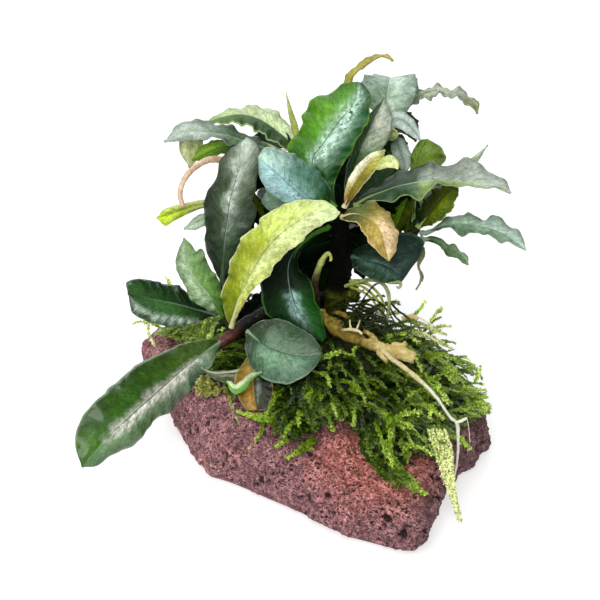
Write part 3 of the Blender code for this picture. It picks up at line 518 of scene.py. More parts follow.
# Each blade: node, slot, midrib, left edge and right edge as seen walking from base to tip
LEAVES = [
    ("long_left_leaf", "leaf_grey",
     [(222, 341, -23), (200, 356, -17), (180, 372, -10), (160, 390, -4), (140, 408, 1), (120, 426, 5),
      (100, 445, 8), (82, 467, 9)],
     [(212, 364, -17), (198, 380, -14.5), (187, 392, -12.5), (172, 411, -8), (159, 417, -3.5),
      (147, 429, -1.5), (135, 445, 1.5), (123, 450, 3), (110, 456, 5), (97, 466, 6.5)],
     [(205, 339, -18.5), (190, 342, -16.5), (172, 348, -13.5), (157, 355, -8.5), (142, 362, -4.5),
      (129, 371, -0.5), (116, 383, 2), (105, 393, 4), (94, 402, 5.5), (86, 413, 6.5), (79, 424, 7.5),
      (75, 436, 8.5), (76, 450, 9)]),
    ("dark_left_leaf", "leaf_dark",
     [(216, 314, -24), (195, 309, -22), (175, 304, -20), (155, 300, -18), (128, 294, -16)],
     [(195, 323, -21), (170, 326, -18), (150, 322, -16), (133, 313, -15)],
     [(195, 300, -23), (180, 287, -22), (160, 283, -20), (143, 279, -18), (127, 282, -16)]),
    ("light_left_leaf", "leaf_pale",
     [(223, 316, -22.5), (210, 297, -17), (198, 283, -15), (190, 270, -13.5), (187, 258, -12.5),
      (185.5, 246, -11.5), (184, 238, -11)],
     [(204, 308, -18), (190, 299, -16), (186, 287, -14), (178, 273, -13), (176, 260, -12),
      (179, 249, -11.5)],
     [(223, 299, -19), (219, 281, -17), (210, 268, -14.5), (205, 257, -13), (202, 249, -12.5),
      (196, 252, -12), (191, 244, -11.5)]),
    ("tall_grey_leaf", "leaf_grey",
     [(222, 286, -20), (223, 262, -17.5), (224, 240, -16), (227, 220, -15), (230, 200, -14.5),
      (236, 178, -15), (242, 158, -16), (247, 137, -18)],
     [(214, 267, -19), (207, 254, -18.5), (205, 242, -18), (206, 230, -18), (204, 215, -18),
      (205, 201, -18), (210, 188, -17.5), (217, 176, -17.5), (219, 164, -18), (227, 151, -18),
      (238, 143, -18.5)],
     [(236, 262, -18), (245, 243, -17), (249, 231, -16.5), (255, 219, -16), (256, 209, -16),
      (253, 200, -16), (256, 190, -16), (257, 176, -16), (262, 162, -16), (260, 150, -17), (256, 142, -18)]),
    ("yellow_arch_leaf", "leaf_yellow",
     [(231, 328, -22), (237, 305, -18), (243, 290, -15), (251, 273, -12), (261, 257, -9), (276, 238, -6),
      (300, 220, -3), (322, 211, -1), (340, 213, -1)],
     [(224, 312, -20), (222, 300, -18.5), (224, 286, -16.5), (230, 270, -14), (233, 255, -12.5),
      (240, 242, -10.5), (248, 232, -9), (257, 226, -8), (265, 216, -7), (279, 206, -5.5), (291, 203, -4.5),
      (304, 199, -4), (314, 200, -3), (325, 201, -2), (334, 206, -1.5)],
     [(238, 314, -18.5), (245, 302, -16), (252, 290, -13), (262, 281, -10.5), (270, 274, -8.5),
      (277, 262, -6.5), (286, 252, -5), (296, 246, -3.5), (305, 237, -2.5), (315, 228, -1.5),
      (327, 222, -0.8), (335, 219, -0.6)]),
    ("round_front_leaf", "leaf_grey",
     [(247, 331, -19), (258, 340, -14.5), (270, 348, -11.5), (288, 354, -9), (305, 356, -8),
      (322, 354, -8)],
     [(262, 320, -17), (285, 321, -16), (305, 331, -13.5), (318, 343, -10)],
     [(246, 347, -14.5), (250, 366, -11), (266, 380, -7), (282, 383, -3.5), (302, 378, -2.5),
      (316, 366, -5)]),
    ("dark_gloss_leaf", "leaf_dark",
     [(330, 226, -20), (305, 240, -19), (290, 262, -18), (291, 290, -18), (300, 315, -16.5),
      (323, 342, -14)],
     [(308, 243, -21), (298, 256, -20.5), (300, 271, -19.5), (309, 279, -18.5), (314, 290, -17.5),
      (315, 302, -17), (321, 311, -16.5), (323, 324, -15.5), (326, 335, -14.8)],
     [(285, 245, -21), (268, 262, -22), (261, 288, -22), (266, 312, -21), (290, 330, -17)]),
    ("blue_wet_leaf", "leaf_grey",
     [(330, 214, -14.5), (318, 206, -12), (303, 196, -10), (288, 183, -8.5), (272, 168, -8.5),
      (258, 157, -9.5)],
     [(303, 208, -8.5), (285, 202, -7), (270, 192, -7), (260, 178, -8)],
     [(330, 192, -15), (322, 175, -14.5), (308, 163, -13.5), (288, 152, -12.5), (266, 147, -11)]),
    ("blue_under_leaf", "leaf_grey",
     [(322, 216, -19), (300, 212, -18.5), (280, 203, -17.5), (265, 194, -17)],
     [(300, 218, -18.5), (275, 213, -18.5), (262, 203, -18)],
     [(300, 203, -18.5), (282, 194, -17), (270, 188, -16.5)]),
    ("green_top_leaf", "leaf_green",
     [(336, 208, -19.5), (318, 186, -19), (312, 161, -17), (322, 145, -16), (340, 120, -15.5),
      (353, 104, -16), (358, 82, -19)],
     [(310, 182, -19), (296, 165, -19), (288, 149, -19), (291, 140, -19), (298, 132, -19),
      (303, 124, -18.5), (302, 116, -18.5), (307, 108, -18.5), (311, 100, -18.5), (321, 96, -19),
      (331, 92, -19), (340, 86, -19.5), (350, 82, -20)],
     [(334, 186, -19), (340, 170, -17), (346, 159, -15.5), (353, 150, -15), (355, 142, -14.5),
      (362, 131, -14.5), (369, 121, -14.5), (369, 110, -15), (372, 101, -15.5), (371, 94, -16),
      (366, 87, -18), (362, 83, -18.5)]),
    ("yellow_top_leaf", "leaf_yellow",
     [(316, 184, -24.5), (328, 135, -22.5), (341, 98, -23), (350, 75, -22.5), (362, 64, -22),
      (378, 55.5, -21), (386, 54.5, -20.5), (393, 61, -20)],
     [(326, 135, -23), (339, 98, -23.5), (346, 76, -23), (358, 64, -23), (376, 54, -22)],
     [(330, 135, -22), (343, 100, -22.5), (356, 73, -21.5), (366, 66, -21), (380, 57, -20.5)]),
    ("left_spike", "leaf_yellow",
     [(297, 152, -26.5), (296, 133, -24), (291, 115, -23.5), (286, 92, -23)],
     [(292, 130, -24), (288, 112, -23.5)],
     [(299, 131, -24), (293, 112, -23.5)]),
    ("light_back_leaf", "leaf_pale",
     [(294, 150, -30.5), (290, 141, -33), (275, 129, -34), (259, 119, -34), (240, 114, -32),
      (220, 117, -30), (203, 124, -28)],
     [(288, 149, -29.5), (272, 140, -28.5), (258, 130, -28), (240, 123, -27.5), (220, 123, -27)],
     [(299, 140, -36), (290, 125, -38), (276, 112, -39), (258, 106, -39), (242, 107, -37),
      (222, 112, -33)]),
    ("grey_back_leaf", "leaf_pale",
     [(290, 156, -24), (268, 148, -22), (247, 141, -20.5), (225, 134, -20), (203, 131, -20),
      (184, 131, -20), (164, 142, -20)],
     [(262, 153, -20), (240, 146, -19), (215, 138, -18.5), (190, 140, -18.5)],
     [(274, 146, -25), (255, 138, -24.5), (236, 129, -24), (210, 122, -23.5), (182, 122, -22)]),
    ("small_green_leaf", "leaf_green",
     [(262, 156, -26), (240, 146, -24.5), (218, 147, -23), (192, 160, -22)],
     [(238, 153, -23.5), (219, 154, -22), (204, 160, -21.5)],
     [(242, 141, -25), (222, 139, -24.5), (201, 146, -23)]),
    ("olive_drop_leaf", "leaf_pale",
     [(286, 152, -28), (245, 139, -28.5), (206, 131, -27), (193, 137, -25), (189, 148, -24),
      (190, 168, -23.5)],
     [(245, 141, -29), (206, 134, -27.5), (182, 137, -25), (180, 152, -24.5)],
     [(245, 137, -28), (208, 132, -26.5), (203, 143, -24), (200, 156, -23.5)]),
    ("left_spathe", "leaf_yellow",
     [(227, 236, -21.5), (216, 209, -20.5), (206, 204, -19.5), (190, 207, -17), (175, 212, -15),
      (157, 218, -14)],
     [(214, 210, -20.5), (204, 208, -19.5), (188, 214, -15.5), (174, 221, -13), (165, 226, -13)],
     [(218, 209, -20), (206, 200, -19.5), (190, 202, -17), (176, 205, -15), (163, 210, -14)]),
    ("small_grey_leaf", "leaf_grey",
     [(222, 284, -26), (226, 250, -25), (222, 224, -23), (206, 218, -21), (195, 223, -20),
      (184, 229, -19.5)],
     [(223, 250, -25), (218, 226, -23), (204, 226, -20), (194, 230, -19.5)],
     [(228, 250, -24.5), (224, 220, -22.5), (206, 213, -21.5), (194, 218, -20.5)]),
    ("brown_leaf", "leaf_brown",
     [(341, 217, -11), (355, 213, -8.5), (370, 219, -6.5), (381, 232, -5.5), (389, 261, -5.5)],
     [(348, 210, -11), (360, 206, -11), (369, 201, -10.8), (379, 204, -10.5), (389, 214, -9.8),
      (396, 228, -8.8), (398, 242, -8), (394, 254, -6.8)],
     [(346, 221, -8), (354, 221, -6.5), (361, 228, -5), (367, 239, -4.4), (377, 251, -4.4),
      (384, 257, -4.8)]),
    ("main_spathe", "leaf_yellow",
     [(344, 208, -12.5), (351, 190, -10.5), (361, 173, -8.5), (372, 160, -7), (385, 150, -6)],
     [(345, 192, -11.5), (350, 177, -10.5), (360, 163, -9), (373, 153, -8)],
     [(354, 197, -9.5), (365, 183, -7), (375, 171, -5.8), (383, 159, -5.4)]),
    ("big_right_leaf", "leaf_green",
     [(354, 206, -14), (368, 197, -13), (385, 190, -11.5), (400, 185, -10.5), (430, 180, -9),
      (460, 181, -7.5), (485, 182, -6.5), (511, 193, -6)],
     [(362, 195, -15), (374, 187, -15.5), (384, 181, -16), (395, 174, -16), (405, 170, -16),
      (417, 165, -15.5), (434, 164, -15), (446, 165, -14.5), (457, 161, -14), (470, 160, -13),
      (482, 164, -11.5), (493, 175, -10), (506, 181, -8)],
     [(366, 203, -12), (376, 201, -11), (387, 201, -9.8), (397, 198, -9), (407, 196, -8.5), (417, 199, -7),
      (426, 193, -6.5), (440, 184, -6.5), (463, 186, -6), (480, 188, -5.8), (490, 187, -5.5),
      (501, 187, -5.5)]),
    ("right_spike", "leaf_grey",
     [(419, 226, -25), (436, 201, -22), (453, 175, -19.5), (470, 164, -17.5), (488, 145, -16)],
     [(435, 199, -22), (452, 173, -20), (468, 161, -18)],
     [(438, 202, -21.5), (456, 177, -18.5), (474, 166, -17)]),
    ("olive_cup_leaf", "leaf_yellow",
     [(418, 228, -19), (428, 215, -17), (437, 204, -15.5), (446, 194, -15), (455, 185, -15.5)],
     [(419, 212, -20), (424, 199, -19.5), (434, 189, -18.5), (446, 184, -17)],
     [(434, 224, -16), (448, 214, -14), (455, 202, -13.5), (459, 190, -14.5)]),
    ("right_pale_leaf", "leaf_grey",
     [(420, 234, -20), (440, 226, -17), (460, 223, -15), (480, 226, -13), (498, 231, -11.5),
      (512, 239, -10.5), (526, 250, -10)],
     [(431, 229, -19.5), (440, 222, -18.5), (450, 216, -18), (462, 214, -17), (473, 215, -15.5),
      (484, 219, -14.5), (494, 216, -14), (502, 218, -13), (510, 227, -12), (519, 231, -11),
      (524, 240, -10.5)],
     [(433, 231, -17.5), (445, 228, -16), (453, 229, -14.5), (460, 235, -13), (467, 235, -12.5),
      (476, 232, -12), (487, 234, -11.5), (495, 239, -10), (501, 242, -9.5), (508, 241, -9.5),
      (517, 246, -9.5)]),
    ("right_small_leaf", "leaf_green",
     [(420, 239, -20), (435, 240, -17), (446, 247, -15), (455, 251, -14.2), (463, 257, -13.6),
      (468, 265, -13.4)],
     [(432, 236, -18), (442, 239, -16.5), (448, 244, -15.5), (455, 244, -14.5), (460, 251, -14),
      (468, 256, -13.5)],
     [(430, 242, -18), (438, 245, -16.5), (443, 250, -15.5), (447, 256, -14.5), (457, 258, -13.5),
      (463, 263, -13)]),
    ("dark_under_leaf", "leaf_dark",
     [(352, 256, -20), (368, 261, -18), (384, 266, -16.8), (396, 273, -16.2), (400, 284, -16.5)],
     [(355, 249, -21.5), (372, 243, -21), (390, 236, -20.5), (407, 232, -20), (423, 241, -18.5),
      (420, 256, -17.5), (411, 269, -17), (404, 279, -16.8)],
     [(353, 266, -18.5), (364, 275, -16.5), (378, 281, -15.8), (391, 284, -16)]),
    ("dried_leaf", "leaf_pale",
     [(424, 242, -20.5), (420, 252, -19), (418, 264, -18), (422, 278, -17.5), (416, 290, -17.5)],
     [(419, 254, -19), (417, 265, -18), (420, 277, -17.5)],
     [(425, 256, -18.5), (420, 266, -17.5), (424, 278, -17)]),
    ("grey_mid_leaf", "leaf_green",
     [(347, 203, -20), (350, 184, -21), (356, 162, -22.5), (365, 138, -24), (375, 117, -26), (384, 99, -28)],
     [(345, 182, -20.5), (350, 158, -21.5), (359, 136, -22.5), (370, 114, -24.5)],
     [(356, 184, -20), (366, 168, -20.3), (379, 153, -20.8), (388, 139, -21.8), (392, 126, -23),
      (390, 112, -25.5)]),
    ("pale_top_leaf", "leaf_pale",
     [(388, 124, -33), (386, 106, -33), (387, 90, -34), (389, 79, -38), (392, 78, -44),
      (394, 84, -52)],
     [(378, 116, -32), (364, 98, -33), (362, 83, -36), (370, 75, -40), (380, 79, -46)],
     [(400, 120, -32.5), (411, 105, -33), (418, 88, -35), (414, 77, -39), (406, 80, -46)]),
    ("curl_leaf", "leaf_grey",
     [(393, 126, -34.5), (401, 110, -38.5), (418, 97, -38), (432, 91, -36), (448, 91, -35),
      (465, 96, -34), (477, 106, -33), (477, 114, -33)],
     [(400, 109, -39.5), (418, 92, -39.5), (432, 87, -39), (448, 88, -38), (466, 93, -37),
      (479, 104, -34)],
     [(403, 112, -38), (418, 101, -36.5), (433, 96, -33), (448, 95, -32), (463, 101, -31.5),
      (473, 108, -32)]),
    ("grey_curve_leaf", "leaf_grey",
     [(388, 127, -29), (396, 119, -28), (405, 121, -27), (414, 129, -26), (421, 141, -25)],
     [(392, 113, -29), (403, 112, -28.5), (413, 119, -27.5), (419, 130, -26.5)],
     [(398, 128, -27), (405, 132, -26), (413, 137, -25)]),
    ("blue_small_leaf", "leaf_grey",
     [(396, 137, -28.5), (400, 147, -26), (404, 159, -24.5), (407, 172, -23.5)],
     [(403, 139, -27.5), (409, 149, -25.5), (413, 160, -24.5)],
     [(391, 146, -25.5), (394, 158, -24), (400, 168, -23.5)]),
    ("pale_bud", "leaf_pale",
     [(384, 141, -27.5), (387, 135, -26.5), (393, 131, -26), (399, 134, -25.5)],
     [(383, 132, -27.5), (391, 126, -27)],
     [(389, 141, -25.5), (396, 139, -25)]),
    ("olive_fold_leaf", "leaf_yellow",
     [(413, 225, -25), (413, 200, -24), (416, 178, -22), (418, 163, -20.5), (421, 152, -19.5),
      (428, 139, -19.5)],
     [(411, 200, -24.5), (411, 178, -22), (411, 156, -20.5), (419, 141, -20)],
     [(416, 200, -23), (424, 178, -20.5), (444, 162, -18), (442, 148, -18.5)]),
    ("under_leaf", "leaf_grey",
     [(246, 334, -23), (253, 352, -18), (254, 369, -14), (244, 370, -13.3), (230, 372, -13),
      (213, 373, -14), (199, 367, -15.5)],
     [(251, 353, -18), (252, 374, -13), (243, 381, -10), (234, 384, -9.8), (224, 383, -10.5),
      (211, 377, -13)],
     [(255, 353, -17.5), (256, 366, -14.8), (244, 368, -15), (230, 370, -15), (213, 371, -15.3)]),
    ("old_leaf", "leaf_brown",
     [(266, 326, -24), (262, 345, -18.5), (256, 364, -12.5), (253, 380, -9), (254, 396, -6),
      (257, 411, -3.8)],
     [(258, 345, -18), (243, 364, -12.5), (234, 382, -9), (238, 397, -6.5), (246, 409, -4.5)],
     [(266, 345, -18), (268, 366, -12), (273, 384, -8), (272, 398, -5.5), (267, 409, -4)]),
    ("back_leaf_1", "leaf_dark",
     [(338, 211, -19.5), (330, 204, -26), (318, 196, -33), (300, 190, -42), (282, 192, -52),
      (262, 206, -62)],
     [(318, 210, -33), (300, 212, -42), (280, 216, -53), (264, 220, -60)],
     [(312, 184, -36), (290, 172, -45), (270, 176, -55), (258, 192, -61)]),
    ("back_leaf_2", "leaf_green",
     [(344, 214, -20), (348, 209, -28), (360, 186, -37), (370, 165, -46), (376, 160, -56),
      (380, 170, -66)],
     [(355, 178, -34), (352, 160, -44), (358, 150, -56), (370, 158, -64)],
     [(374, 188, -36), (386, 176, -46), (394, 166, -56), (392, 168, -64)]),
    ("back_leaf_3", "leaf_green",
     [(411, 229, -26), (413, 218, -30), (419, 207, -35), (430, 198, -42), (440, 196, -52),
      (448, 204, -60)],
     [(412, 206, -34), (420, 186, -42), (434, 178, -52), (446, 190, -58)],
     [(426, 218, -34), (440, 212, -42), (450, 206, -52), (454, 206, -58)]),
    ("back_leaf_4", "leaf_dark",
     [(222, 285, -25.5), (222, 274, -29), (222, 260, -34), (226, 240, -44), (232, 226, -54),
      (240, 222, -64)],
     [(212, 262, -33), (210, 240, -43), (214, 222, -54), (228, 216, -62)],
     [(234, 262, -35), (244, 244, -45), (250, 232, -55), (250, 224, -62)]),
    ("back_leaf_5", "leaf_dark",
     [(339, 219, -20.5), (334, 224, -27), (324, 232, -33), (316, 246, -42), (312, 264, -51),
      (314, 286, -57)],
     [(332, 238, -33), (334, 256, -42), (332, 272, -50), (324, 284, -55)],
     [(316, 222, -34), (300, 232, -43), (294, 254, -52), (300, 276, -56)]),
    ("back_leaf_6", "leaf_dark",
     [(344, 222, -21), (351, 227, -27), (364, 230, -33), (378, 236, -42), (390, 248, -50),
      (398, 262, -56)],
     [(366, 220, -34), (386, 218, -43), (402, 232, -51), (406, 250, -55)],
     [(356, 240, -32), (366, 254, -41), (376, 264, -49), (388, 266, -55)]),
]

def run(*colours):
    """Colours from base to tip, evenly spaced."""
    return [(index / (len(colours) - 1), colour) for index, colour in enumerate(colours)]


# How each blade differs from a plain one. Its left and right halves run from base to tip; near-black stretches
# in these runs are painted shade, and pale grey ones painted sheen.
LOOKS = {
    "long_left_leaf": {
        "left": run((0.06, 0.13, 0.03), (0.16, 0.25, 0.15), (0.22, 0.33, 0.21), (0.12, 0.23, 0.09),
                    (0.14, 0.27, 0.1), (0.04, 0.16, 0.02)),
        "right": run((0.1, 0.18, 0.04), (0.05, 0.11, 0.01), (0.025, 0.09, 0.002), (0.03, 0.11, 0.002),
                     (0.05, 0.15, 0.004)),
        "painted_light": (0.7, 0.7, 0.62), "painted_light_side": -0.06, "painted_light_width": 0.26, "painted_light_share": 1.0,
        "painted_light_run": (0.16, 0.84), "ruffle": 0.5, "waves": 6.0, "rib": (0.015, 0.04, 0.008),
        "edge": (0.3, 0.42, 0.26), "wet": 0.5, "rough": 0.28},
    "dark_left_leaf": {
        "left": run(DEEP, (0.01, 0.05, 0.004), (0.03, 0.11, 0.02), (0.03, 0.11, 0.02), (0.012, 0.06, 0.005)),
        "right": run(DEEP, (0.001, 0.02, 0.001), (0.004, 0.04, 0.001), (0.02, 0.1, 0.004)),
        "painted_light": (0.4, 0.52, 0.4), "painted_light_side": -0.38, "painted_light_width": 0.14, "painted_light_share": 0.9,
        "painted_light_run": (0.3, 0.9), "rib": (0.08, 0.2, 0.05), "turn": 1.0, "rough": 0.26, "wet": 0.5},
    "light_left_leaf": {
        "left": run((0.1, 0.22, 0.03), (0.22, 0.37, 0.13), (0.3, 0.46, 0.22), (0.34, 0.5, 0.28)),
        "right": run((0.06, 0.16, 0.01), (0.12, 0.28, 0.04), (0.2, 0.37, 0.11), (0.28, 0.44, 0.2)),
        "painted_light": (0.48, 0.64, 0.42), "painted_light_side": -0.2, "painted_light_share": 0.7, "rib": (0.5, 0.62, 0.36),
        "edge": (0.08, 0.2, 0.02), "under": "pale", "turn": 2.0, "ruffle": 0.5, "waves": 4.0},
    "tall_grey_leaf": {
        "left": run(DEEP, (0.005, 0.02, 0.002), (0.02, 0.045, 0.014), (0.035, 0.06, 0.025),
                    (0.1, 0.14, 0.08), (0.42, 0.5, 0.4)),
        "right": run(DEEP, (0.008, 0.03, 0.004), (0.05, 0.09, 0.045), (0.09, 0.13, 0.07),
                     (0.2, 0.25, 0.17), (0.46, 0.54, 0.44)),
        "painted_light": (0.38, 0.45, 0.37), "painted_light_side": 0.02, "painted_light_width": 0.26, "painted_light_share": 0.85,
        "painted_light_run": (0.4, 1.0), "rib": (0.015, 0.035, 0.01), "turn": 3.0, "waves": 4.5,
        "ruffle": 0.55, "edge": (0.05, 0.1, 0.035), "margin_shade": 0.5},
    "yellow_arch_leaf": {
        "left": run((0.24, 0.3, 0.002), (0.3, 0.37, 0.003), (0.5, 0.59, 0.04), (0.68, 0.8, 0.22),
                    (0.74, 0.88, 0.44)),
        "right": run((0.7, 0.66, 0.24), (0.62, 0.64, 0.14), (0.66, 0.76, 0.22), (0.72, 0.84, 0.36),
                     (0.74, 0.88, 0.46)),
        "painted_light": (0.8, 0.88, 0.46), "painted_light_side": 0.1, "painted_light_share": 0.6, "painted_light_run": (0.3, 0.95),
        "vein": (0.42, 0.46, 0.02), "rib": (0.24, 0.27, 0.004), "edge": (0.9, 0.94, 0.52), "waves": 7.0,
        "ruffle": 0.7, "turn": 4.0, "under": "yellow", "stem": "pale", "rough": 0.42,
        "wet": 0.1, "glow": 0.2, "margin_shade": 0.9, "vein_share": 0.12},
    "round_front_leaf": {
        "left": run((0.02, 0.045, 0.012), (0.06, 0.11, 0.055), (0.08, 0.16, 0.08), (0.05, 0.1, 0.045)),
        "right": run((0.015, 0.04, 0.012), (0.05, 0.11, 0.055), (0.12, 0.25, 0.14), (0.04, 0.1, 0.04)),
        "painted_light": (0.17, 0.32, 0.19), "painted_light_side": 0.2, "painted_light_width": 0.4, "painted_light_share": 0.7,
        "painted_light_run": (0.3, 0.8), "rib": (0.012, 0.04, 0.01), "edge": (0.3, 0.44, 0.3), "vein": SAGE,
        "turn": 5.0, "ruffle": 0.3, "waves": 3.0, "wet": 0.45, "rough": 0.3},
    "dark_gloss_leaf": {
        "left": run(DEEP, DEEP, (0.001, 0.012, 0.001), (0.003, 0.06, 0.002), (0.004, 0.08, 0.002)),
        "right": run(DEEP, DEEP, (0.001, 0.006, 0.001), (0.001, 0.025, 0.001), (0.002, 0.04, 0.001)),
        "painted_light": (0.3, 0.48, 0.44), "painted_light_side": 0.0, "painted_light_width": 0.28, "painted_light_share": 0.9,
        "painted_light_run": (0.6, 0.82), "rib": (0.004, 0.03, 0.004), "vein": BOTTLE, "edge": (0.08, 0.26, 0.02),
        "rough": 0.5, "wet": 0.0, "shine": 0.15, "glow": 0.03, "under": "dark", "turn": 6.0,
        "bulge": 0.1, "ruffle": 0.5},
    "blue_wet_leaf": {
        "left": run((0.01, 0.08, 0.03), (0.14, 0.34, 0.3), (0.3, 0.52, 0.52), (0.33, 0.58, 0.57),
                    (0.28, 0.48, 0.42)),
        "right": run((0.001, 0.035, 0.001), (0.004, 0.06, 0.003), (0.12, 0.28, 0.2), (0.4, 0.6, 0.54),
                     (0.42, 0.6, 0.48)),
        "painted_light": (0.46, 0.72, 0.72), "painted_light_side": -0.1, "painted_light_share": 0.6, "painted_light_run": (0.25, 0.9),
        "painted_light_width": 0.4, "flecks": 1.0, "fleck": (0.01, 0.12, 0.09), "rib": (0.1, 0.28, 0.25),
        "rough": 0.3, "wet": 0.4, "edge": (0.2, 0.4, 0.25), "vein": SKY, "turn": 7.0, "ruffle": 0.3,
        "frill": 0.3},
    "blue_under_leaf": {
        "left": run(BOTTLE, (0.1, 0.2, 0.12), (0.2, 0.34, 0.24)),
        "right": run(BOTTLE, (0.05, 0.12, 0.05), (0.2, 0.34, 0.24)),
        "edge": FROST, "rows": 40, "turn": 8.0},
    "green_top_leaf": {
        "left": run((0.003, 0.05, 0.001), (0.02, 0.14, 0.001), (0.07, 0.25, 0.001), (0.1, 0.31, 0.001),
                    (0.04, 0.17, 0.001)),
        "right": run((0.002, 0.05, 0.001), (0.01, 0.1, 0.01), (0.02, 0.14, 0.04), (0.015, 0.1, 0.005)),
        "painted_light": (0.5, 0.72, 0.58), "painted_light_side": 0.1, "painted_light_width": 0.36, "painted_light_share": 1.0,
        "painted_light_run": (0.3, 0.92), "flecks": 1.0, "fleck": (0.01, 0.1, 0.03),
        "rib": (0.005, 0.07, 0.005), "edge": (0.16, 0.36, 0.03), "waves": 6.0, "ruffle": 0.6,
        "turn": 9.0, "wet": 0.1},
    "yellow_top_leaf": {
        "left": run((0.2, 0.24, 0.01), (0.3, 0.3, 0.03), (0.42, 0.36, 0.07)),
        "right": run((0.24, 0.28, 0.01), (0.36, 0.34, 0.04), (0.46, 0.4, 0.09)),
        "painted_light_share": 0.0, "rib": MUSTARD, "edge": (0.3, 0.26, 0.08), "under": "yellow",
        "turn": 10.0, "ruffle": 0.5, "waves": 8.0, "stalk": 0.5, "wet": 0.0},
    "left_spike": {
        "left": run((0.42, 0.46, 0.06), CREAM), "right": run((0.36, 0.44, 0.05), LEMON),
        "edge": (0.6, 0.4, 0.26), "painted_light_share": 0.0, "rib": LEMON, "under": "yellow",
        "ruffle": 0.05, "rows": 30, "stalk": 0.45, "least": 0.16},
    "light_back_leaf": {
        "left": run((0.05, 0.12, 0.01), (0.01, 0.06, 0.002), (0.02, 0.08, 0.003), (0.05, 0.14, 0.005),
                    (0.1, 0.22, 0.02)),
        "right": run((0.66, 0.76, 0.5), (0.64, 0.76, 0.44), (0.66, 0.8, 0.44), (0.54, 0.68, 0.32),
                     (0.3, 0.44, 0.12)),
        "edge": (0.5, 0.66, 0.3), "rib": GRASS, "under": "green", "stem": "red", "turn": 11.0,
        "glow": 0.2, "ruffle": 0.35, "frill": 0.4, "waves": 6.0, "painted_light_share": 0.0, "wet": 0.0, "margin_shade": 0.9},
    "grey_back_leaf": {
        "left": run(BOTTLE, (0.02, 0.07, 0.01), (0.1, 0.18, 0.08), (0.42, 0.5, 0.42), (0.44, 0.52, 0.44)),
        "right": run(BOTTLE, (0.01, 0.05, 0.005), (0.02, 0.08, 0.01), (0.32, 0.4, 0.32), (0.46, 0.54, 0.47)),
        "edge": FROST, "under": "pale", "turn": 12.0, "ruffle": 0.45, "frill": 0.4, "painted_light_share": 0.2,
        "wet": 0.0},
    "small_green_leaf": {
        "left": run(BOTTLE, (0.05, 0.16, 0.002), (0.18, 0.36, 0.003)),
        "right": run(BOTTLE, (0.16, 0.33, 0.002), (0.3, 0.5, 0.01)),
        "painted_light_share": 0.1, "edge": LIME, "turn": 13.0, "rows": 44, "wet": 0.0},
    "olive_drop_leaf": {
        "left": run(SAGE, (0.5, 0.56, 0.24), (0.62, 0.66, 0.34), (0.6, 0.64, 0.32)),
        "right": run(SAGE, (0.5, 0.56, 0.24), (0.54, 0.6, 0.26), (0.56, 0.62, 0.28)),
        "under": "pale", "turn": 14.0, "stalk": 0.6, "edge": CREAM, "painted_light_share": 0.2, "wet": 0.0},
    "left_spathe": {
        "left": run(LEMON, (0.6, 0.66, 0.2), (0.6, 0.66, 0.2), (0.46, 0.64, 0.04), (0.6, 0.8, 0.03)),
        "right": run(LEMON, (0.66, 0.7, 0.26), (0.7, 0.76, 0.3), (0.66, 0.76, 0.2), (0.62, 0.82, 0.05)),
        "bulge": 0.45, "under": "yellow", "painted_light_share": 0.0, "edge": CREAM, "stalk": 0.8,
        "rows": 44, "ruffle": 0.1, "frill": 0.1},
    "small_grey_leaf": {
        "left": run(SAGE, (0.42, 0.54, 0.38), (0.52, 0.64, 0.48)),
        "right": run(SAGE, (0.36, 0.48, 0.32), (0.48, 0.6, 0.44)),
        "under": "pale", "rows": 44, "stalk": 0.6},
    "brown_leaf": {
        "left": run((0.03, 0.05, 0.002), (0.1, 0.13, 0.01), (0.46, 0.36, 0.08), (0.8, 0.58, 0.3),
                    (0.66, 0.5, 0.16)),
        "right": run((0.03, 0.05, 0.002), (0.05, 0.08, 0.003), (0.24, 0.2, 0.02), (0.5, 0.36, 0.08),
                     (0.6, 0.46, 0.12)),
        "painted_light": (0.9, 0.68, 0.42), "painted_light_side": -0.2, "painted_light_width": 0.26, "painted_light_share": 0.8,
        "painted_light_run": (0.5, 0.95), "vein": (0.4, 0.28, 0.05), "rib": (0.42, 0.32, 0.06), "soft": 0.2,
        "edge": (0.85, 0.66, 0.3), "under": "yellow", "rough": 0.42, "wet": 0.2, "turn": 15.0, "margin_shade": 0.9},
    "main_spathe": {
        "left": run((0.14, 0.05, 0.01), (0.6, 0.5, 0.16), (0.92, 0.9, 0.62), (0.94, 0.93, 0.68), CREAM),
        "right": run((0.2, 0.07, 0.015), (0.2, 0.15, 0.006), (0.26, 0.22, 0.008), (0.4, 0.38, 0.04),
                     (0.6, 0.6, 0.2)),
        # Its patch beside the midrib is dark here: painted shade inside the rolled spathe
        "painted_light": (0.2, 0.17, 0.008), "painted_light_side": 0.1, "painted_light_width": 0.14, "painted_light_share": 0.7,
        "painted_light_run": (0.15, 0.7), "bulge": 0.5, "under": "yellow", "edge": (0.9, 0.88, 0.5), "rib": LEMON,
        "vein": LEMON, "ruffle": 0.1, "frill": 0.1, "rough": 0.3, "margin_shade": 0.95, "soft": 0.1,
        "stem": "red"},
    "big_right_leaf": {
        # Both halves pale to grey towards the tip: painted reflection
        "left": run(DEEP, (0.004, 0.03, 0.003), (0.012, 0.045, 0.012), (0.3, 0.36, 0.28), (0.42, 0.48, 0.4),
                    (0.6, 0.66, 0.58)),
        "right": run(BOTTLE, (0.012, 0.06, 0.012), (0.04, 0.1, 0.035), (0.3, 0.42, 0.12),
                     (0.4, 0.5, 0.3), (0.6, 0.66, 0.58)),
        "painted_light": (0.44, 0.52, 0.42), "painted_light_side": 0.0, "painted_light_width": 0.3, "painted_light_share": 0.5,
        "painted_light_run": (0.5, 0.98), "rib": (0.4, 0.52, 0.36), "edge": (0.3, 0.44, 0.12), "ruffle": 0.5,
        "waves": 5.0, "turn": 16.0},
    "right_spike": {
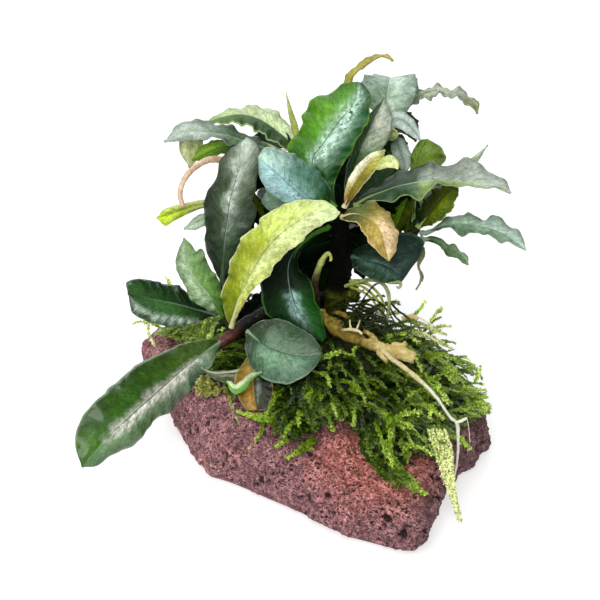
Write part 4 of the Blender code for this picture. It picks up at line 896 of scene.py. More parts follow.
        "left": run(SAGE, (0.4, 0.46, 0.3), (0.5, 0.56, 0.36)), "right": run(SAGE, (0.4, 0.48, 0.3), FROST),
        "rows": 30, "under": "pale", "stalk": 0.5, "ruffle": 0.2, "least": 0.2},
    "olive_cup_leaf": {
        "left": run((0.006, 0.012, 0.001), (0.018, 0.028, 0.001), (0.04, 0.06, 0.001), (0.12, 0.18, 0.01)),
        "right": run((0.02, 0.035, 0.001), (0.07, 0.1, 0.001), (0.12, 0.18, 0.002), (0.12, 0.18, 0.01)),
        "painted_light_share": 0.0, "rib": (0.02, 0.03, 0.001), "vein": OLIVE, "edge": (0.3, 0.42, 0.1),
        "bulge": 0.15, "turn": 17.0, "wet": 0.0, "shine": 0.15, "frill": 0.2},
    "right_pale_leaf": {
        "left": run(SAGE, (0.2, 0.31, 0.2), (0.3, 0.43, 0.33), (0.42, 0.57, 0.46)),
        "right": run(BOTTLE, (0.09, 0.19, 0.09), (0.2, 0.33, 0.2), (0.4, 0.55, 0.44)),
        "painted_light": (0.46, 0.6, 0.48), "painted_light_share": 0.35, "ruffle": 0.45, "turn": 18.0,
        "edge": FROST},
    "right_small_leaf": {
        "left": run(BOTTLE, (0.08, 0.18, 0.05), (0.24, 0.38, 0.2)),
        "right": run(BOTTLE, (0.05, 0.13, 0.02), (0.14, 0.27, 0.09)),
        "rib": (0.02, 0.08, 0.01), "edge": FROST, "rows": 44, "turn": 19.0, "ruffle": 0.4, "frill": 0.1},
    "dark_under_leaf": {
        "left": run(DEEP, (0.004, 0.025, 0.012), (0.01, 0.04, 0.026), (0.02, 0.05, 0.035)),
        "right": run(DEEP, (0.002, 0.025, 0.008), (0.006, 0.05, 0.016), (0.02, 0.06, 0.035)),
        "painted_light": (0.07, 0.15, 0.12), "painted_light_side": 0.1, "painted_light_width": 0.3, "painted_light_share": 0.8,
        "painted_light_run": (0.2, 0.9), "rib": (0.004, 0.02, 0.01), "vein": BOTTLE, "edge": (0.06, 0.12, 0.07),
        "rough": 0.4, "wet": 0.1, "shine": 0.2, "under": "dark", "turn": 20.0, "ruffle": 0.2,
        "frill": 0.1, "soft": 0.2},
    "dried_leaf": {
        "left": run(MIST, (0.46, 0.44, 0.33)), "right": run((0.1, 0.14, 0.05), (0.3, 0.22, 0.1)), "rows": 40,
        "rib": SAGE_DARK, "edge": (0.3, 0.3, 0.2), "wet": 0.0, "ruffle": 0.3, "stalk": 0.4, "least": 0.25},
    "grey_mid_leaf": {
        "left": run(DEEP, (0.008, 0.04, 0.006), (0.03, 0.09, 0.02), (0.16, 0.25, 0.13)),
        "right": run(BARK, (0.03, 0.1, 0.015), (0.16, 0.27, 0.11), (0.5, 0.55, 0.42), (0.4, 0.5, 0.36)),
        "painted_light": (0.7, 0.74, 0.6), "painted_light_side": 0.18, "painted_light_width": 0.34, "painted_light_share": 0.8,
        "painted_light_run": (0.5, 0.9), "rib": DEEP, "edge": MIST, "turn": 21.0, "vein": (0.2, 0.27, 0.15),
        "vein_share": 0.3},
    "pale_top_leaf": {
        # Its pale greys are painted reflection of the bright surroundings
        "left": run((0.2, 0.32, 0.18), (0.38, 0.52, 0.41), (0.46, 0.58, 0.48)),
        "right": run((0.24, 0.36, 0.22), (0.44, 0.58, 0.46), (0.5, 0.64, 0.52)),
        "painted_light": (0.6, 0.74, 0.6), "painted_light_side": 0.15, "painted_light_share": 0.5, "rib": (0.2, 0.3, 0.18),
        "ruffle": 0.6, "frill": 0.5, "waves": 5.0, "turn": 22.0, "under": "pale", "glow": 0.2, "margin_shade": 0.85},
    "curl_leaf": {
        "left": run(SAGE, (0.3, 0.36, 0.2), (0.48, 0.52, 0.38), (0.3, 0.36, 0.14)),
        "right": run(SAGE, (0.34, 0.4, 0.24), (0.46, 0.5, 0.34), (0.26, 0.3, 0.1)),
        "ruffle": 0.65, "waves": 6.0, "under": "pale", "turn": 23.0, "edge": FROST},
    "grey_curve_leaf": {
        "left": run((0.5, 0.62, 0.56), (0.6, 0.72, 0.66)), "right": run((0.54, 0.64, 0.58), (0.56, 0.68, 0.6)),
        "under": "pale", "rows": 44, "turn": 24.0, "rib": MIST, "ruffle": 0.15, "frill": 0.05,
        "margin_shade": 0.9, "edge": (0.5, 0.6, 0.3)},
    "blue_small_leaf": {
        "left": run(MIST, (0.36, 0.45, 0.38), (0.33, 0.41, 0.34)),
        "right": run(SAGE, (0.3, 0.38, 0.32), (0.28, 0.36, 0.29)),
        "rows": 44, "turn": 25.0, "ruffle": 0.2, "frill": 0.1, "under": "pale"},
    "pale_bud": {
        "left": run(CREAM, CREAM), "right": run(LIME, CREAM), "bulge": 0.3, "rows": 36,
        "under": "pale", "stalk": 0.5},
    "olive_fold_leaf": {
        "left": run(OLIVE, (0.1, 0.16, 0.005), (0.13, 0.22, 0.01), (0.08, 0.15, 0.005)),
        "right": run(OLIVE, (0.04, 0.09, 0.002), (0.12, 0.2, 0.01), (0.13, 0.22, 0.02)),
        "rib": (0.24, 0.34, 0.06), "painted_light_share": 0.1, "edge": (0.3, 0.42, 0.16), "turn": 26.0,
        "stalk": 0.6, "ruffle": 0.6, "wet": 0.1, "shine": 0.2},
    "under_leaf": {
        "left": run(OLIVE, (0.04, 0.055, 0.01), (0.06, 0.08, 0.025), (0.16, 0.2, 0.12)),
        "right": run(OLIVE, (0.4, 0.44, 0.2), (0.5, 0.54, 0.34), (0.44, 0.5, 0.36)),
        "painted_light": (0.3, 0.33, 0.25), "painted_light_side": -0.2, "painted_light_width": 0.12, "painted_light_share": 0.6,
        "painted_light_run": (0.5, 0.95), "rib": (0.5, 0.52, 0.3), "edge": (0.14, 0.17, 0.08), "turn": 27.0,
        "stalk": 0.4, "ruffle": 0.25, "frill": 0.1, "under": "dark"},
    "old_leaf": {
        "left": run((0.2, 0.16, 0.008), (0.24, 0.2, 0.01), (0.3, 0.2, 0.012), (0.36, 0.2, 0.02),
                    (0.4, 0.24, 0.04)),
        "right": run(BARK, (0.012, 0.016, 0.002), (0.008, 0.014, 0.002), (0.02, 0.026, 0.004)),
        "painted_light": (0.2, 0.26, 0.2), "painted_light_side": 0.14, "painted_light_width": 0.12, "painted_light_share": 0.7,
        "painted_light_run": (0.6, 0.95), "rib": (0.05, 0.04, 0.004), "vein": OLIVE, "edge": (0.4, 0.3, 0.14),
        "turn": 28.0, "under": "dark", "stem": "dark", "stalk": 0.6, "soft": 0.14},
    "back_leaf_1": {"turn": 29.0, "ruffle": 0.6, "painted_light": MIST},
    "back_leaf_2": {"turn": 30.0, "ruffle": 0.6, "left": run(BOTTLE, SAGE, MIST), "right": run(BOTTLE, SAGE)},
    "back_leaf_3": {"turn": 31.0, "ruffle": 0.6, "left": run(BOTTLE, GRASS), "right": run(BOTTLE, SAGE)},
    "back_leaf_4": {"turn": 32.0, "ruffle": 0.5, "left": run(DEEP, SAGE_DARK, SAGE)},
    "back_leaf_5": {"turn": 33.0, "under": "dark", "painted_light_share": 0.1, "rib": BOTTLE, "vein": BOTTLE},
    "back_leaf_6": {"turn": 34.0, "under": "dark", "painted_light_share": 0.1, "rib": BOTTLE, "vein": BOTTLE},
}
for node, slot, rib, left, right in LEAVES:
    look = {**PLAIN_LEAF, **LOOKS[node]}
    make_blade(node + "_blade", slot, look, rib, left, right, node)

# Leaves deep in the crown, seen only between the others: midrib, half width in sheet steps, how
# far one edge stands in front of the other, and the look
# By default these blades are near-black: painted shade deep in the crown
INNER_LOOK = {"left": two(DARKEST, DARKEST), "right": two(DARKEST, DEEP), "painted_light": SAGE_DARK,
              "painted_light_share": 0.1, "rib": BOTTLE, "vein": BOTTLE, "edge": BOTTLE, "ruffle": 0.5,
              "under": "dark", "stem": "dark", "stalk": 0.6, "rows": 44, "wet": 0.0, "shine": 0.04,
              "rough": 0.6, "glow": 0.02}
INNER_LEAVES = [
    ([(338, 232, -24), (326, 226, -27), (308, 222, -30), (288, 222, -33), (268, 226, -35)], 17, 4, {}),
    ([(338, 240, -24), (322, 244, -25), (306, 250, -26), (288, 262, -28), (278, 280, -30)], 16, 4, {}),
    ([(340, 222, -22), (330, 200, -26), (322, 178, -30), (318, 158, -34), (318, 140, -38)], 16, 3, {}),
    ([(342, 214, -21), (346, 190, -25), (352, 170, -29), (362, 150, -33), (376, 136, -36)], 14, 3, {}),
    ([(344, 222, -22), (360, 214, -25), (380, 206, -28), (400, 200, -30), (418, 199, -32)], 15, 3, {}),
    ([(344, 232, -24), (360, 236, -26), (376, 236, -27), (394, 236, -28), (408, 244, -30)], 15, 4, {}),
    ([(342, 240, -26), (352, 250, -29), (366, 260, -32), (384, 264, -34), (400, 262, -35)], 12, 4, {}),
    ([(336, 250, -27), (326, 262, -30), (314, 276, -33), (306, 292, -36), (304, 306, -38)], 13, 4, {}),
    ([(296, 176, -27.5), (288, 190, -26), (280, 206, -25), (272, 224, -24), (264, 240, -23.5)], 13, 3, {}),
    ([(300, 170, -28.5), (284, 168, -29), (268, 172, -28), (254, 182, -27), (246, 196, -26.5)], 13, 3, {}),
    ([(378, 158, -32), (386, 152, -31), (394, 146, -30), (402, 142, -29.5), (408, 144, -29.5)], 11, 2,
     {"left": two(BOTTLE, SAGE_DARK), "right": two(BOTTLE, GRASS)}),
    ([(384, 146, -33), (390, 156, -31), (396, 166, -30), (402, 178, -29), (406, 190, -28.5)], 9, 2,
     {"left": two(SAGE_DARK, SAGE), "right": two(BOTTLE, SAGE_DARK)}),
    ([(406, 238, -26), (408, 226, -25.5), (411, 214, -25.5), (414, 204, -26), (416, 196, -27)], 8, 2,
     {"left": two(OLIVE, OLIVE), "right": two(OLIVE, BOTTLE), "stem": "pale"}),
    ([(226, 296, -27), (234, 276, -27), (240, 256, -27), (246, 238, -28), (254, 222, -29)], 12, 3, {}),
    ([(236, 330, -27), (246, 318, -29), (258, 306, -31), (268, 296, -34), (272, 288, -38)], 11, 3, {}),
    ([(342, 226, -24), (346, 236, -34), (344, 252, -44), (338, 272, -52), (330, 288, -57)], 14, 6, {}),
    ([(340, 216, -22), (346, 202, -32), (340, 190, -44), (330, 186, -55), (318, 192, -64)], 14, 6,
     {"left": two(DEEP, BOTTLE), "right": two(BOTTLE, SAGE_DARK)}),
    ([(390, 130, -34), (396, 122, -42), (404, 122, -50), (412, 130, -58), (416, 142, -63)], 11, 5,
     {"left": two(BOTTLE, SAGE), "right": two(BOTTLE, SAGE)}),
    ([(292, 146, -30), (282, 140, -38), (270, 140, -46), (256, 148, -54), (246, 160, -59)], 12, 5,
     {"left": two(BOTTLE, SAGE), "right": two(BOTTLE, SAGE_DARK)}),
    ([(278, 236, -28), (268, 226, -27.5), (259, 214, -27), (254, 202, -27), (252, 190, -27)], 9, 2,
     {"right": two(DEEP, OLIVE)}),
    ([(392, 238, -27), (396, 228, -26.5), (401, 216, -26.5), (405, 206, -27), (407, 198, -28)], 8, 2,
     {"left": two(OLIVE, LIME), "right": two(BOTTLE, OLIVE)}),
    ([(336, 258, -28), (330, 270, -29), (324, 284, -30), (320, 298, -31), (319, 312, -32)], 11, 3, {}),
    ([(352, 206, -22), (364, 194, -22), (376, 182, -22), (388, 171, -22.5), (398, 164, -23)], 9, 3,
     {"left": two(BOTTLE, SAGE_DARK), "right": two(BOTTLE, SAGE_DARK)}),
    ([(346, 236, -27), (352, 246, -28), (358, 258, -30), (362, 270, -31), (364, 280, -32)], 9, 3, {}),
    ([(384, 144, -32), (380, 156, -31), (382, 170, -30), (390, 180, -29), (396, 190, -29)], 10, 3,
     {"left": two(BOTTLE, SAGE_DARK), "right": two(DEEP, BOTTLE)}),
]
for number, (rib, wide, tip_over, changes) in enumerate(INNER_LEAVES):
    edges = ([], [])
    for a, here, b in zip(rib, rib[1:], rib[2:]):
        ahead = Vector((b[0] - a[0], b[1] - a[1])).normalized()
        grown = wide * (0.75 if here == rib[1] or here == rib[-2] else 1.0)
        for edge, sign in zip(edges, (1.0, -1.0)):
            edge.append((here[0] + sign * ahead.y * grown, here[1] - sign * ahead.x * grown,
                         here[2] - sign * tip_over / 2.0))
    look = {**PLAIN_LEAF, **INNER_LOOK, "turn": 40.0 + number, **changes}
    make_blade(f"inner_blade_{number + 1}", "leaf_dark", look, rib, *edges)

# The spathe at the crown opens into a lobe that folds over to the right
SPATHE_LOBE = {"left": run(LEMON, (0.8, 0.88, 0.4)), "right": run(LEMON, (0.9, 0.95, 0.5)),
               "bulge": 0.3, "painted_light_share": 0.0, "edge": CREAM, "rib": (0.7, 0.78, 0.24), "under": "yellow",
               "stem": "pale", "stalk": 0.5, "rows": 36, "ruffle": 0.1, "frill": 0.1, "margin_shade": 0.95}
make_blade("spathe_lobe", "leaf_yellow", {**PLAIN_LEAF, **SPATHE_LOBE},
           [(371, 169, -6.8), (379, 165, -5.2), (387, 161, -4.4), (393, 163, -4.1), (398, 169, -4.2)],
           [(379, 160, -5.6), (388, 155, -5), (395, 157, -4.6), (399, 163, -4.3)],
           [(379, 170, -5), (386, 168, -4.2), (392, 168, -3.9)])

# A small leaf at the stone's edge, rolled up to its pale green underside
CURLED = {"left": run((0.2, 0.4, 0.08), (0.12, 0.36, 0.03), (0.16, 0.46, 0.05)),
          "right": run((0.5, 0.64, 0.34), (0.7, 0.8, 0.5), (0.5, 0.68, 0.3)), "bulge": 0.2,
          "painted_light_share": 0.0, "edge": (0.4, 0.6, 0.2), "rib": (0.3, 0.5, 0.16), "under": "pale",
          "stalk": 0.3, "rows": 36, "ruffle": 0.2, "frill": 0.1, "margin_shade": 0.95}
make_blade("curled_leaf_blade", "leaf_pale", {**PLAIN_LEAF, **CURLED},
           [(262, 372, -8), (252, 377, -7), (243, 385, -5.5), (235, 389, -5), (229, 384, -5.2),
            (227, 381, -5.4)],
           [(252, 380, -6), (245, 390, -4.6), (236, 394, -4.2), (230, 390, -4.6)],
           [(251, 373, -7.4), (242, 380, -6.4), (235, 384, -6), (231, 381, -5.8)])

# Stems and roots: node, slot, paint, and points x, y, mm in front of the sheet, radius in mm
SHADOW = (0.002, 0.003, 0.001)
BARK_PAINTS = {
    # Towards its top the trunk turns near-black: painted shade under the crown
    "trunk": plain_paint("trunk bark", (0.1, 0.11, 0.012), (0.008, 0.011, 0.002), 1.4, 0.8, 0.0, 0.5,
                         change=(2, 33.0, 36.0, (0.003, 0.004, 0.001), (0.001, 0.001, 0.001)), shine=0.06),
    # Towards the right, under the crown, the red stem turns near-black: painted shade
    "red": plain_paint("red stem skin", (0.22, 0.055, 0.04), (0.05, 0.014, 0.01), 1.4, 0.4, 0.3, 0.3,
                       change=(0, -20.5, -17.0, (0.01, 0.007, 0.004), SHADOW), shine=0.2),
    "shoot": plain_paint("shoot skin", (0.03, 0.034, 0.006), (0.008, 0.011, 0.002), 2.0, 0.6, 0.0, 0.2,
                         shine=0.1),
    "hook": plain_paint("young shoot skin", (0.035, 0.018, 0.006), (0.01, 0.006, 0.002), 2.4, 0.4, 0.2, 0.1,
                        change=(2, 40.0, 48.0, (0.46, 0.5, 0.14), (0.2, 0.22, 0.03))),
    "tan": plain_paint("tan root skin", (0.42, 0.31, 0.04), (0.13, 0.08, 0.008), 1.3, 0.5, 0.1, 0.5,
                       change=(0, 13.0, 20.0, (0.95, 0.8, 0.36), (0.66, 0.48, 0.12))),
    "white": plain_paint("white root skin", (0.8, 0.72, 0.42), (0.55, 0.44, 0.2), 1.2, 0.5, 0.1, 0.2,
                         change=(0, 27.0, 30.0, (0.88, 0.87, 0.78), (0.7, 0.68, 0.55))),
    "stalk": plain_paint("flower stalk skin", (0.8, 0.62, 0.44), (0.5, 0.3, 0.19), 4.0, 0.4, 0.3, 0.1),
    "green": plain_paint("green root skin", (0.42, 0.46, 0.05), (0.16, 0.2, 0.012), 1.4, 0.45, 0.2, 0.1, 0.15),
    "grey": plain_paint("grey root skin", (0.34, 0.4, 0.16), (0.16, 0.2, 0.06), 1.4, 0.45, 0.2, 0.1),
    "dark": plain_paint("dark root skin", (0.03, 0.04, 0.008), (0.004, 0.007, 0.001), 1.0, 0.5, 0.1, 0.1,
                        shine=0.2),
}
RODS = [
    ("trunk", "stem", "trunk", 0.5,
     [(328, 326, -36, 2.6), (331, 318, -34, 3.0), (337, 300, -29, 3.6), (340, 275, -25, 3.2),
      (341, 250, -21, 2.7), (341, 230, -18, 2.6), (342, 210, -15.5, 2.2), (343, 205, -15, 1.2)]),
    ("left_rhizome", "stem", "red", 0.3,
     [(206, 352, -23, 1.0), (214, 348, -23, 1.5), (232, 335, -24.5, 1.8), (252, 320, -27, 1.8),
      (280, 306, -29, 1.7), (312, 298, -30, 1.6), (334, 292, -29, 1.4)]),
    ("left_shoot", "stem", "shoot", 0.2,
     [(231, 330, -26, 1.4), (229, 322, -26, 1.4), (224, 304, -24.5, 1.4), (223, 288, -23, 1.4),
      (223, 281, -22.5, 0.7)]),
    ("right_shoot", "stem", "shoot", 0.2,
     [(338, 262, -24, 1.3), (356, 262, -27, 1.5), (376, 254, -28, 1.5), (398, 243, -26, 1.5),
      (413, 233, -23, 1.7), (418, 229, -22, 0.9)]),
    ("back_shoot", "stem", "shoot", 0.2,
     [(340, 222, -18, 1.2), (328, 214, -21, 1.2), (312, 192, -25, 1.3), (300, 165, -27, 1.3),
      (292, 146, -28, 1.2), (290, 140, -28.5, 0.6)]),
    ("top_shoot", "stem", "shoot", 0.2,
     [(342, 216, -18, 1.2), (354, 205, -22, 1.3), (366, 182, -27, 1.4), (378, 155, -31, 1.3),
      (388, 134, -32, 1.2), (390, 127, -32, 0.6)]),
    ("hook_shoot", "stem", "hook", 0.05,
     [(319, 322, -26.5, 0.9), (318, 314, -25, 0.95), (316, 300, -22, 1), (315, 284, -19, 1),
      (318, 270, -16, 0.95), (323, 259, -14, 0.9), (328, 253.5, -12.5, 0.8), (331, 257, -11.5, 0.6),
      (330.5, 261, -11.5, 0.35)]),
    ("flower_stalk", "stem", "stalk", 0.12,
     [(226, 284, -25, 0.8), (229, 240, -23.5, 0.8), (238, 190, -23.5, 0.8),
      (234, 165, -23, 0.9), (221, 160, -20, 1.0), (208, 160, -17, 1.0), (194, 168, -14, 0.9),
      (184, 180, -12, 0.8), (180, 194, -11, 0.7), (183, 207, -10, 0.6)]),
    ("tan_root", "root", "tan", 0.75,
     [(322, 314, -20, 1.2), (328, 322, -17.5, 1.3), (338, 331, -14, 1.5), (352, 337, -11.5, 1.5),
      (368, 343, -9.5, 1.5), (385, 349, -7.5, 1.5), (398, 352, -6.5, 1.3), (409, 356, -5.5, 1.9),
      (414, 358, -5.5, 1.3)]),
    ("white_root", "root", "white", 0.16,
     [(382, 350, -7, 0.7), (391, 358, -4, 0.66), (406, 369, -1, 0.62), (419, 380, 1.5, 0.62),
      (425, 385, 2, 0.42), (437, 398, 3, 0.36), (450, 417, 3.5, 0.36), (457, 424, 2.5, 0.45),
      (458, 445, 2, 0.33), (457, 462, 2, 0.28), (453, 482, 0.5, 0.16)]),
    ("upper_root", "root", "grey", 0.08,
     [(345, 286, -24, 0.55), (352, 284, -23, 0.5), (366, 280, -20, 0.5), (380, 282, -18, 0.5),
      (388, 292, -17, 0.5), (389, 308, -17.5, 0.45), (386, 321, -19.5, 0.4)]),
]


def rod_piece(name, slot, paint, lump, girth, lines, *nodes):
    """Stems or roots: rods along smooth paths, with their radii times girth and lumps in their skin."""
    both = bmesh.new()
    for rows in lines:
        count = len(rows) * 10
        path = smooth_path([place(x, y, near) for x, y, near, _ in rows], count)
        knots = [(index / (len(rows) - 1), row[3]) for index, row in enumerate(rows)]
        radii = [ramp(knots, index / (count - 1)) for index in range(count)]
        for index, here in enumerate(path):
            radii[index] *= girth * (1.0 + 0.14 * noise.noise(here / 1.7))
        rod = tube_mesh(path, radii, 16)
        for corner in rod.vertices:
            here = corner.co
            push = noise.fractal(here / 1.3, 1.0, 2.0, 3) * lump
            corner.co = (here + corner.normal * push) * MM
        both.from_mesh(rod)
        bpy.data.meshes.remove(rod)
    mesh = bpy.data.meshes.new(name)
    both.to_mesh(mesh)
    both.free()
    return show(name, mesh, [BARK_PAINTS[paint]], slot, *nodes)


for node, slot, paint, lump, rows in RODS:
    rod_piece(node + "_skin", slot, paint, lump, 1.0, [rows], node)

# Finer roots that leave the trunk and the big roots, as lines of points like those above
FINE_ROOTS = {
    "green": (0.08, 0.9, [
        [(350, 281, -23, 0.5), (362, 281, -21, 0.4), (372, 287, -20, 0.4), (380, 296, -19.5, 0.4),
         (384, 306, -19.5, 0.4), (383, 316, -20, 0.3)],
        [(350, 284, -23, 0.5), (361, 286, -22, 0.4), (371, 293, -21, 0.4), (379, 303, -20.5, 0.4),
         (381, 314, -21, 0.3)],
        [(350, 287, -23, 0.5), (361, 291, -22, 0.35), (371, 298, -21.5, 0.35), (379, 310, -21, 0.3)],
        [(352, 283, -24, 0.4), (366, 284, -23, 0.35), (377, 292, -22, 0.35), (383, 302, -21.5, 0.35),
         (382, 314, -21.5, 0.3)]]),
    "dark": (0.05, 0.62, [
        [(340, 301, -24, 0.4), (350, 306, -22, 0.4), (364, 304, -20, 0.4), (378, 309, -18.5, 0.4),
         (386, 319, -18, 0.3), (378, 328, -18, 0.2)],
        [(338, 307, -23, 0.4), (350, 309, -20.5, 0.4), (362, 315, -18.5, 0.4), (378, 316, -17, 0.4),
         (386, 326, -16.5, 0.3), (380, 334, -16, 0.2)],
        [(342, 313, -21, 0.4), (354, 314, -19, 0.5), (366, 322, -17.5, 0.45), (382, 320, -16.5, 0.4),
         (390, 330, -15.5, 0.25), (400, 333, -15, 0.2)],
        [(350, 320, -18, 0.4), (358, 322, -17, 0.4), (366, 330, -15.5, 0.4), (378, 328, -15.5, 0.35),
         (386, 339, -14.5, 0.25)],
        [(346, 297, -25, 0.3), (358, 302, -23, 0.3), (374, 300, -21, 0.3), (386, 309, -19, 0.3),
         (396, 325, -17, 0.2)],
        [(352, 308, -20.5, 0.3), (362, 310, -19.5, 0.35), (372, 318, -17.5, 0.35), (370, 326, -16.5, 0.3),
         (360, 327, -16.5, 0.25)],
        [(356, 304, -21.5, 0.25), (370, 309, -19.5, 0.3), (382, 305, -19, 0.25), (388, 314, -18, 0.2)],
        [(390, 303, -18, 0.28), (398, 311, -17, 0.26), (409, 320, -16, 0.24), (411, 331, -14.5, 0.22),
         (404, 338, -13, 0.16)],
        [(388, 304, -18, 0.24), (395, 317, -16.5, 0.22), (404, 326, -15, 0.2), (409, 339, -13.5, 0.14)],
        [(384, 320, -17.5, 0.22), (392, 331, -15.5, 0.2), (398, 344, -13, 0.16)],
        [(361, 303, -21.5, 0.25), (368, 293, -20, 0.22), (374, 286, -19, 0.2), (382, 283, -18.5, 0.18),
         (387, 287, -18.5, 0.14)],
        [(355, 299, -23, 0.22), (360, 293, -22, 0.2), (364, 290, -21.5, 0.16)]]),
    "white": (0.05, 0.85, [
        [(342, 330, -12, 0.3), (350, 329.5, -10, 0.5), (358, 331, -8.8, 0.55), (362, 334, -8.2, 0.35)],
        [(356, 331, -9, 0.35), (358, 326, -9.5, 0.3), (360, 320, -10, 0.2)],
        [(351, 329, -10, 0.35), (350, 324, -10.5, 0.25), (350, 320, -11, 0.2)],
        [(412, 314, -17, 0.25), (422, 319, -15.5, 0.3), (434, 326, -14, 0.2)],
        [(424, 332, -12, 0.15), (430, 337, -11, 0.2), (438, 341, -10, 0.12)],
        [(467, 418, 2.5, 0.12), (469, 430, 2, 0.12), (470, 442, 1.6, 0.1)],
        [(455, 423, 3, 0.45), (461, 421, 3.2, 0.45), (467, 418, 3.2, 0.35)]]),
    "tan": (0.5, 1.0, [
        [(326, 318, -19, 0.8), (334, 321, -16.5, 1.0), (342, 324, -14.5, 0.7)],
        [(334, 312, -20, 0.5), (342, 314, -18, 0.7), (348, 318, -16.5, 0.4)],
        [(364, 331, -11, 0.6), (372, 336, -9.5, 0.7), (378, 343, -8.5, 0.6)],
        [(392, 344, -7.5, 0.5), (400, 345, -6.5, 0.6), (406, 343, -6, 0.5)],
        [(378, 352, -7, 0.5), (384, 358, -5.5, 0.6), (387, 362, -5, 0.4)],
        [(402, 318, -18, 0.5), (410, 316, -17, 0.6), (418, 319, -16, 0.3)]]),
}
for paint, (lump, girth, lines) in FINE_ROOTS.items():
    rod_piece("fine_roots_" + paint, "root", paint, lump, girth, lines)
rod_piece("leaf_tip_curl", "leaf_dark", "grey", 0.03, 1.0,
          [[(388, 283.5, -15.6, 0.2), (394, 282.5, -15.4, 0.36), (399, 282, -15.6, 0.42),
            (401, 285, -15.9, 0.4), (398.5, 288, -15.9, 0.34), (396.5, 286.5, -15.7, 0.2)]])

# The stone: its outline on the ground about the origin, in mm, and its height towards each point
STONE_OUTLINE = [
    (-45, 38, 12), (-37.6, 10.3, 15), (-33.5, -2.5, 17), (-26, -19, 18), (-20.5, -21.5, 18),
    (-3.5, -33, 17), (10, -44, 15), (19.5, -48, 14), (26, -49, 13), (31.5, -37, 14),
    (34.5, -25, 16), (38.5, -19, 16), (43, -15, 15), (46.5, -7, 15), (45.5, 1, 17), (37.5, 10, 20),
    (25, 19, 22), (8, 27, 22), (-12, 37, 18), (-30, 44, 15), (-42, 44, 12), (-47, 39, 11),
]
# From the base edge to the middle of the top: share of the outline's radius, share of the height
STONE_PROFILE = [
    (0.96, 0.0), (1.01, 0.1), (1.03, 0.33), (1.01, 0.6), (0.96, 0.82), (0.87, 0.94),
    (0.72, 1.0), (0.54, 1.05), (0.36, 1.1), (0.18, 1.13), (0.0, 1.14),
]
STONE_LUMP = 1.6
STONE_LUMP_SIZE = 13.0
STONE_MIDDLE = 19.0
STONE_CORNERS = sorted(
    (math.atan2(y, x), math.hypot(x, y), height) for x, y, height in STONE_OUTLINE
)
STONE_CORNERS = (
    [(STONE_CORNERS[-1][0] - math.tau, *STONE_CORNERS[-1][1:])]
    + STONE_CORNERS
    + [(STONE_CORNERS[0][0] + math.tau, *STONE_CORNERS[0][1:])]
)


def outline_at(turn):
    """Radius and height of the stone towards this angle, in mm."""
    turn = (turn + math.pi) % math.tau - math.pi
    for (a, near, low), (b, far, high) in zip(STONE_CORNERS, STONE_CORNERS[1:]):
        if turn <= b:
            share = (turn - a) / (b - a)
            start = Vector((math.cos(a), math.sin(a))) * near
            end = Vector((math.cos(b), math.sin(b))) * far
            side = end - start
            ray = Vector((math.cos(turn), math.sin(turn)))
            reach = (start.x * side.y - start.y * side.x) / (ray.x * side.y - ray.y * side.x)
            return reach, low + (high - low) * share
    return STONE_CORNERS[-1][1:]


def stone_point(turn, ring):
    """A point of the stone's skin: ring 0 is the base edge, and the last ring the top's middle."""
    reach, height = outline_at(turn)
    low = min(int(ring), len(STONE_PROFILE) - 2)
    share = ring - low
    out = STONE_PROFILE[low][0] * (1 - share) + STONE_PROFILE[low + 1][0] * share
    rise_share = STONE_PROFILE[low][1] * (1 - share) + STONE_PROFILE[low + 1][1] * share
    outer = min(out * 1.4, 1.0)
    height = height * outer + STONE_MIDDLE * (1 - outer)
    flat = Vector((math.cos(turn) * reach * out, math.sin(turn) * reach * out, height * rise_share))
    lift = min(flat.z / 4.0, 1.0)
    push = Vector((flat.x, flat.y, 8.0 * rise_share)).normalized()
    lumps = noise.fractal(flat / STONE_LUMP_SIZE, 1.0, 2.0, 3)
    return flat + push * lumps * STONE_LUMP * lift


STONE_VOXEL = 0.42
STONE_TURN_DOWN = 0.6
STONE_RED_AT = (0.016, -0.032, 0.014)


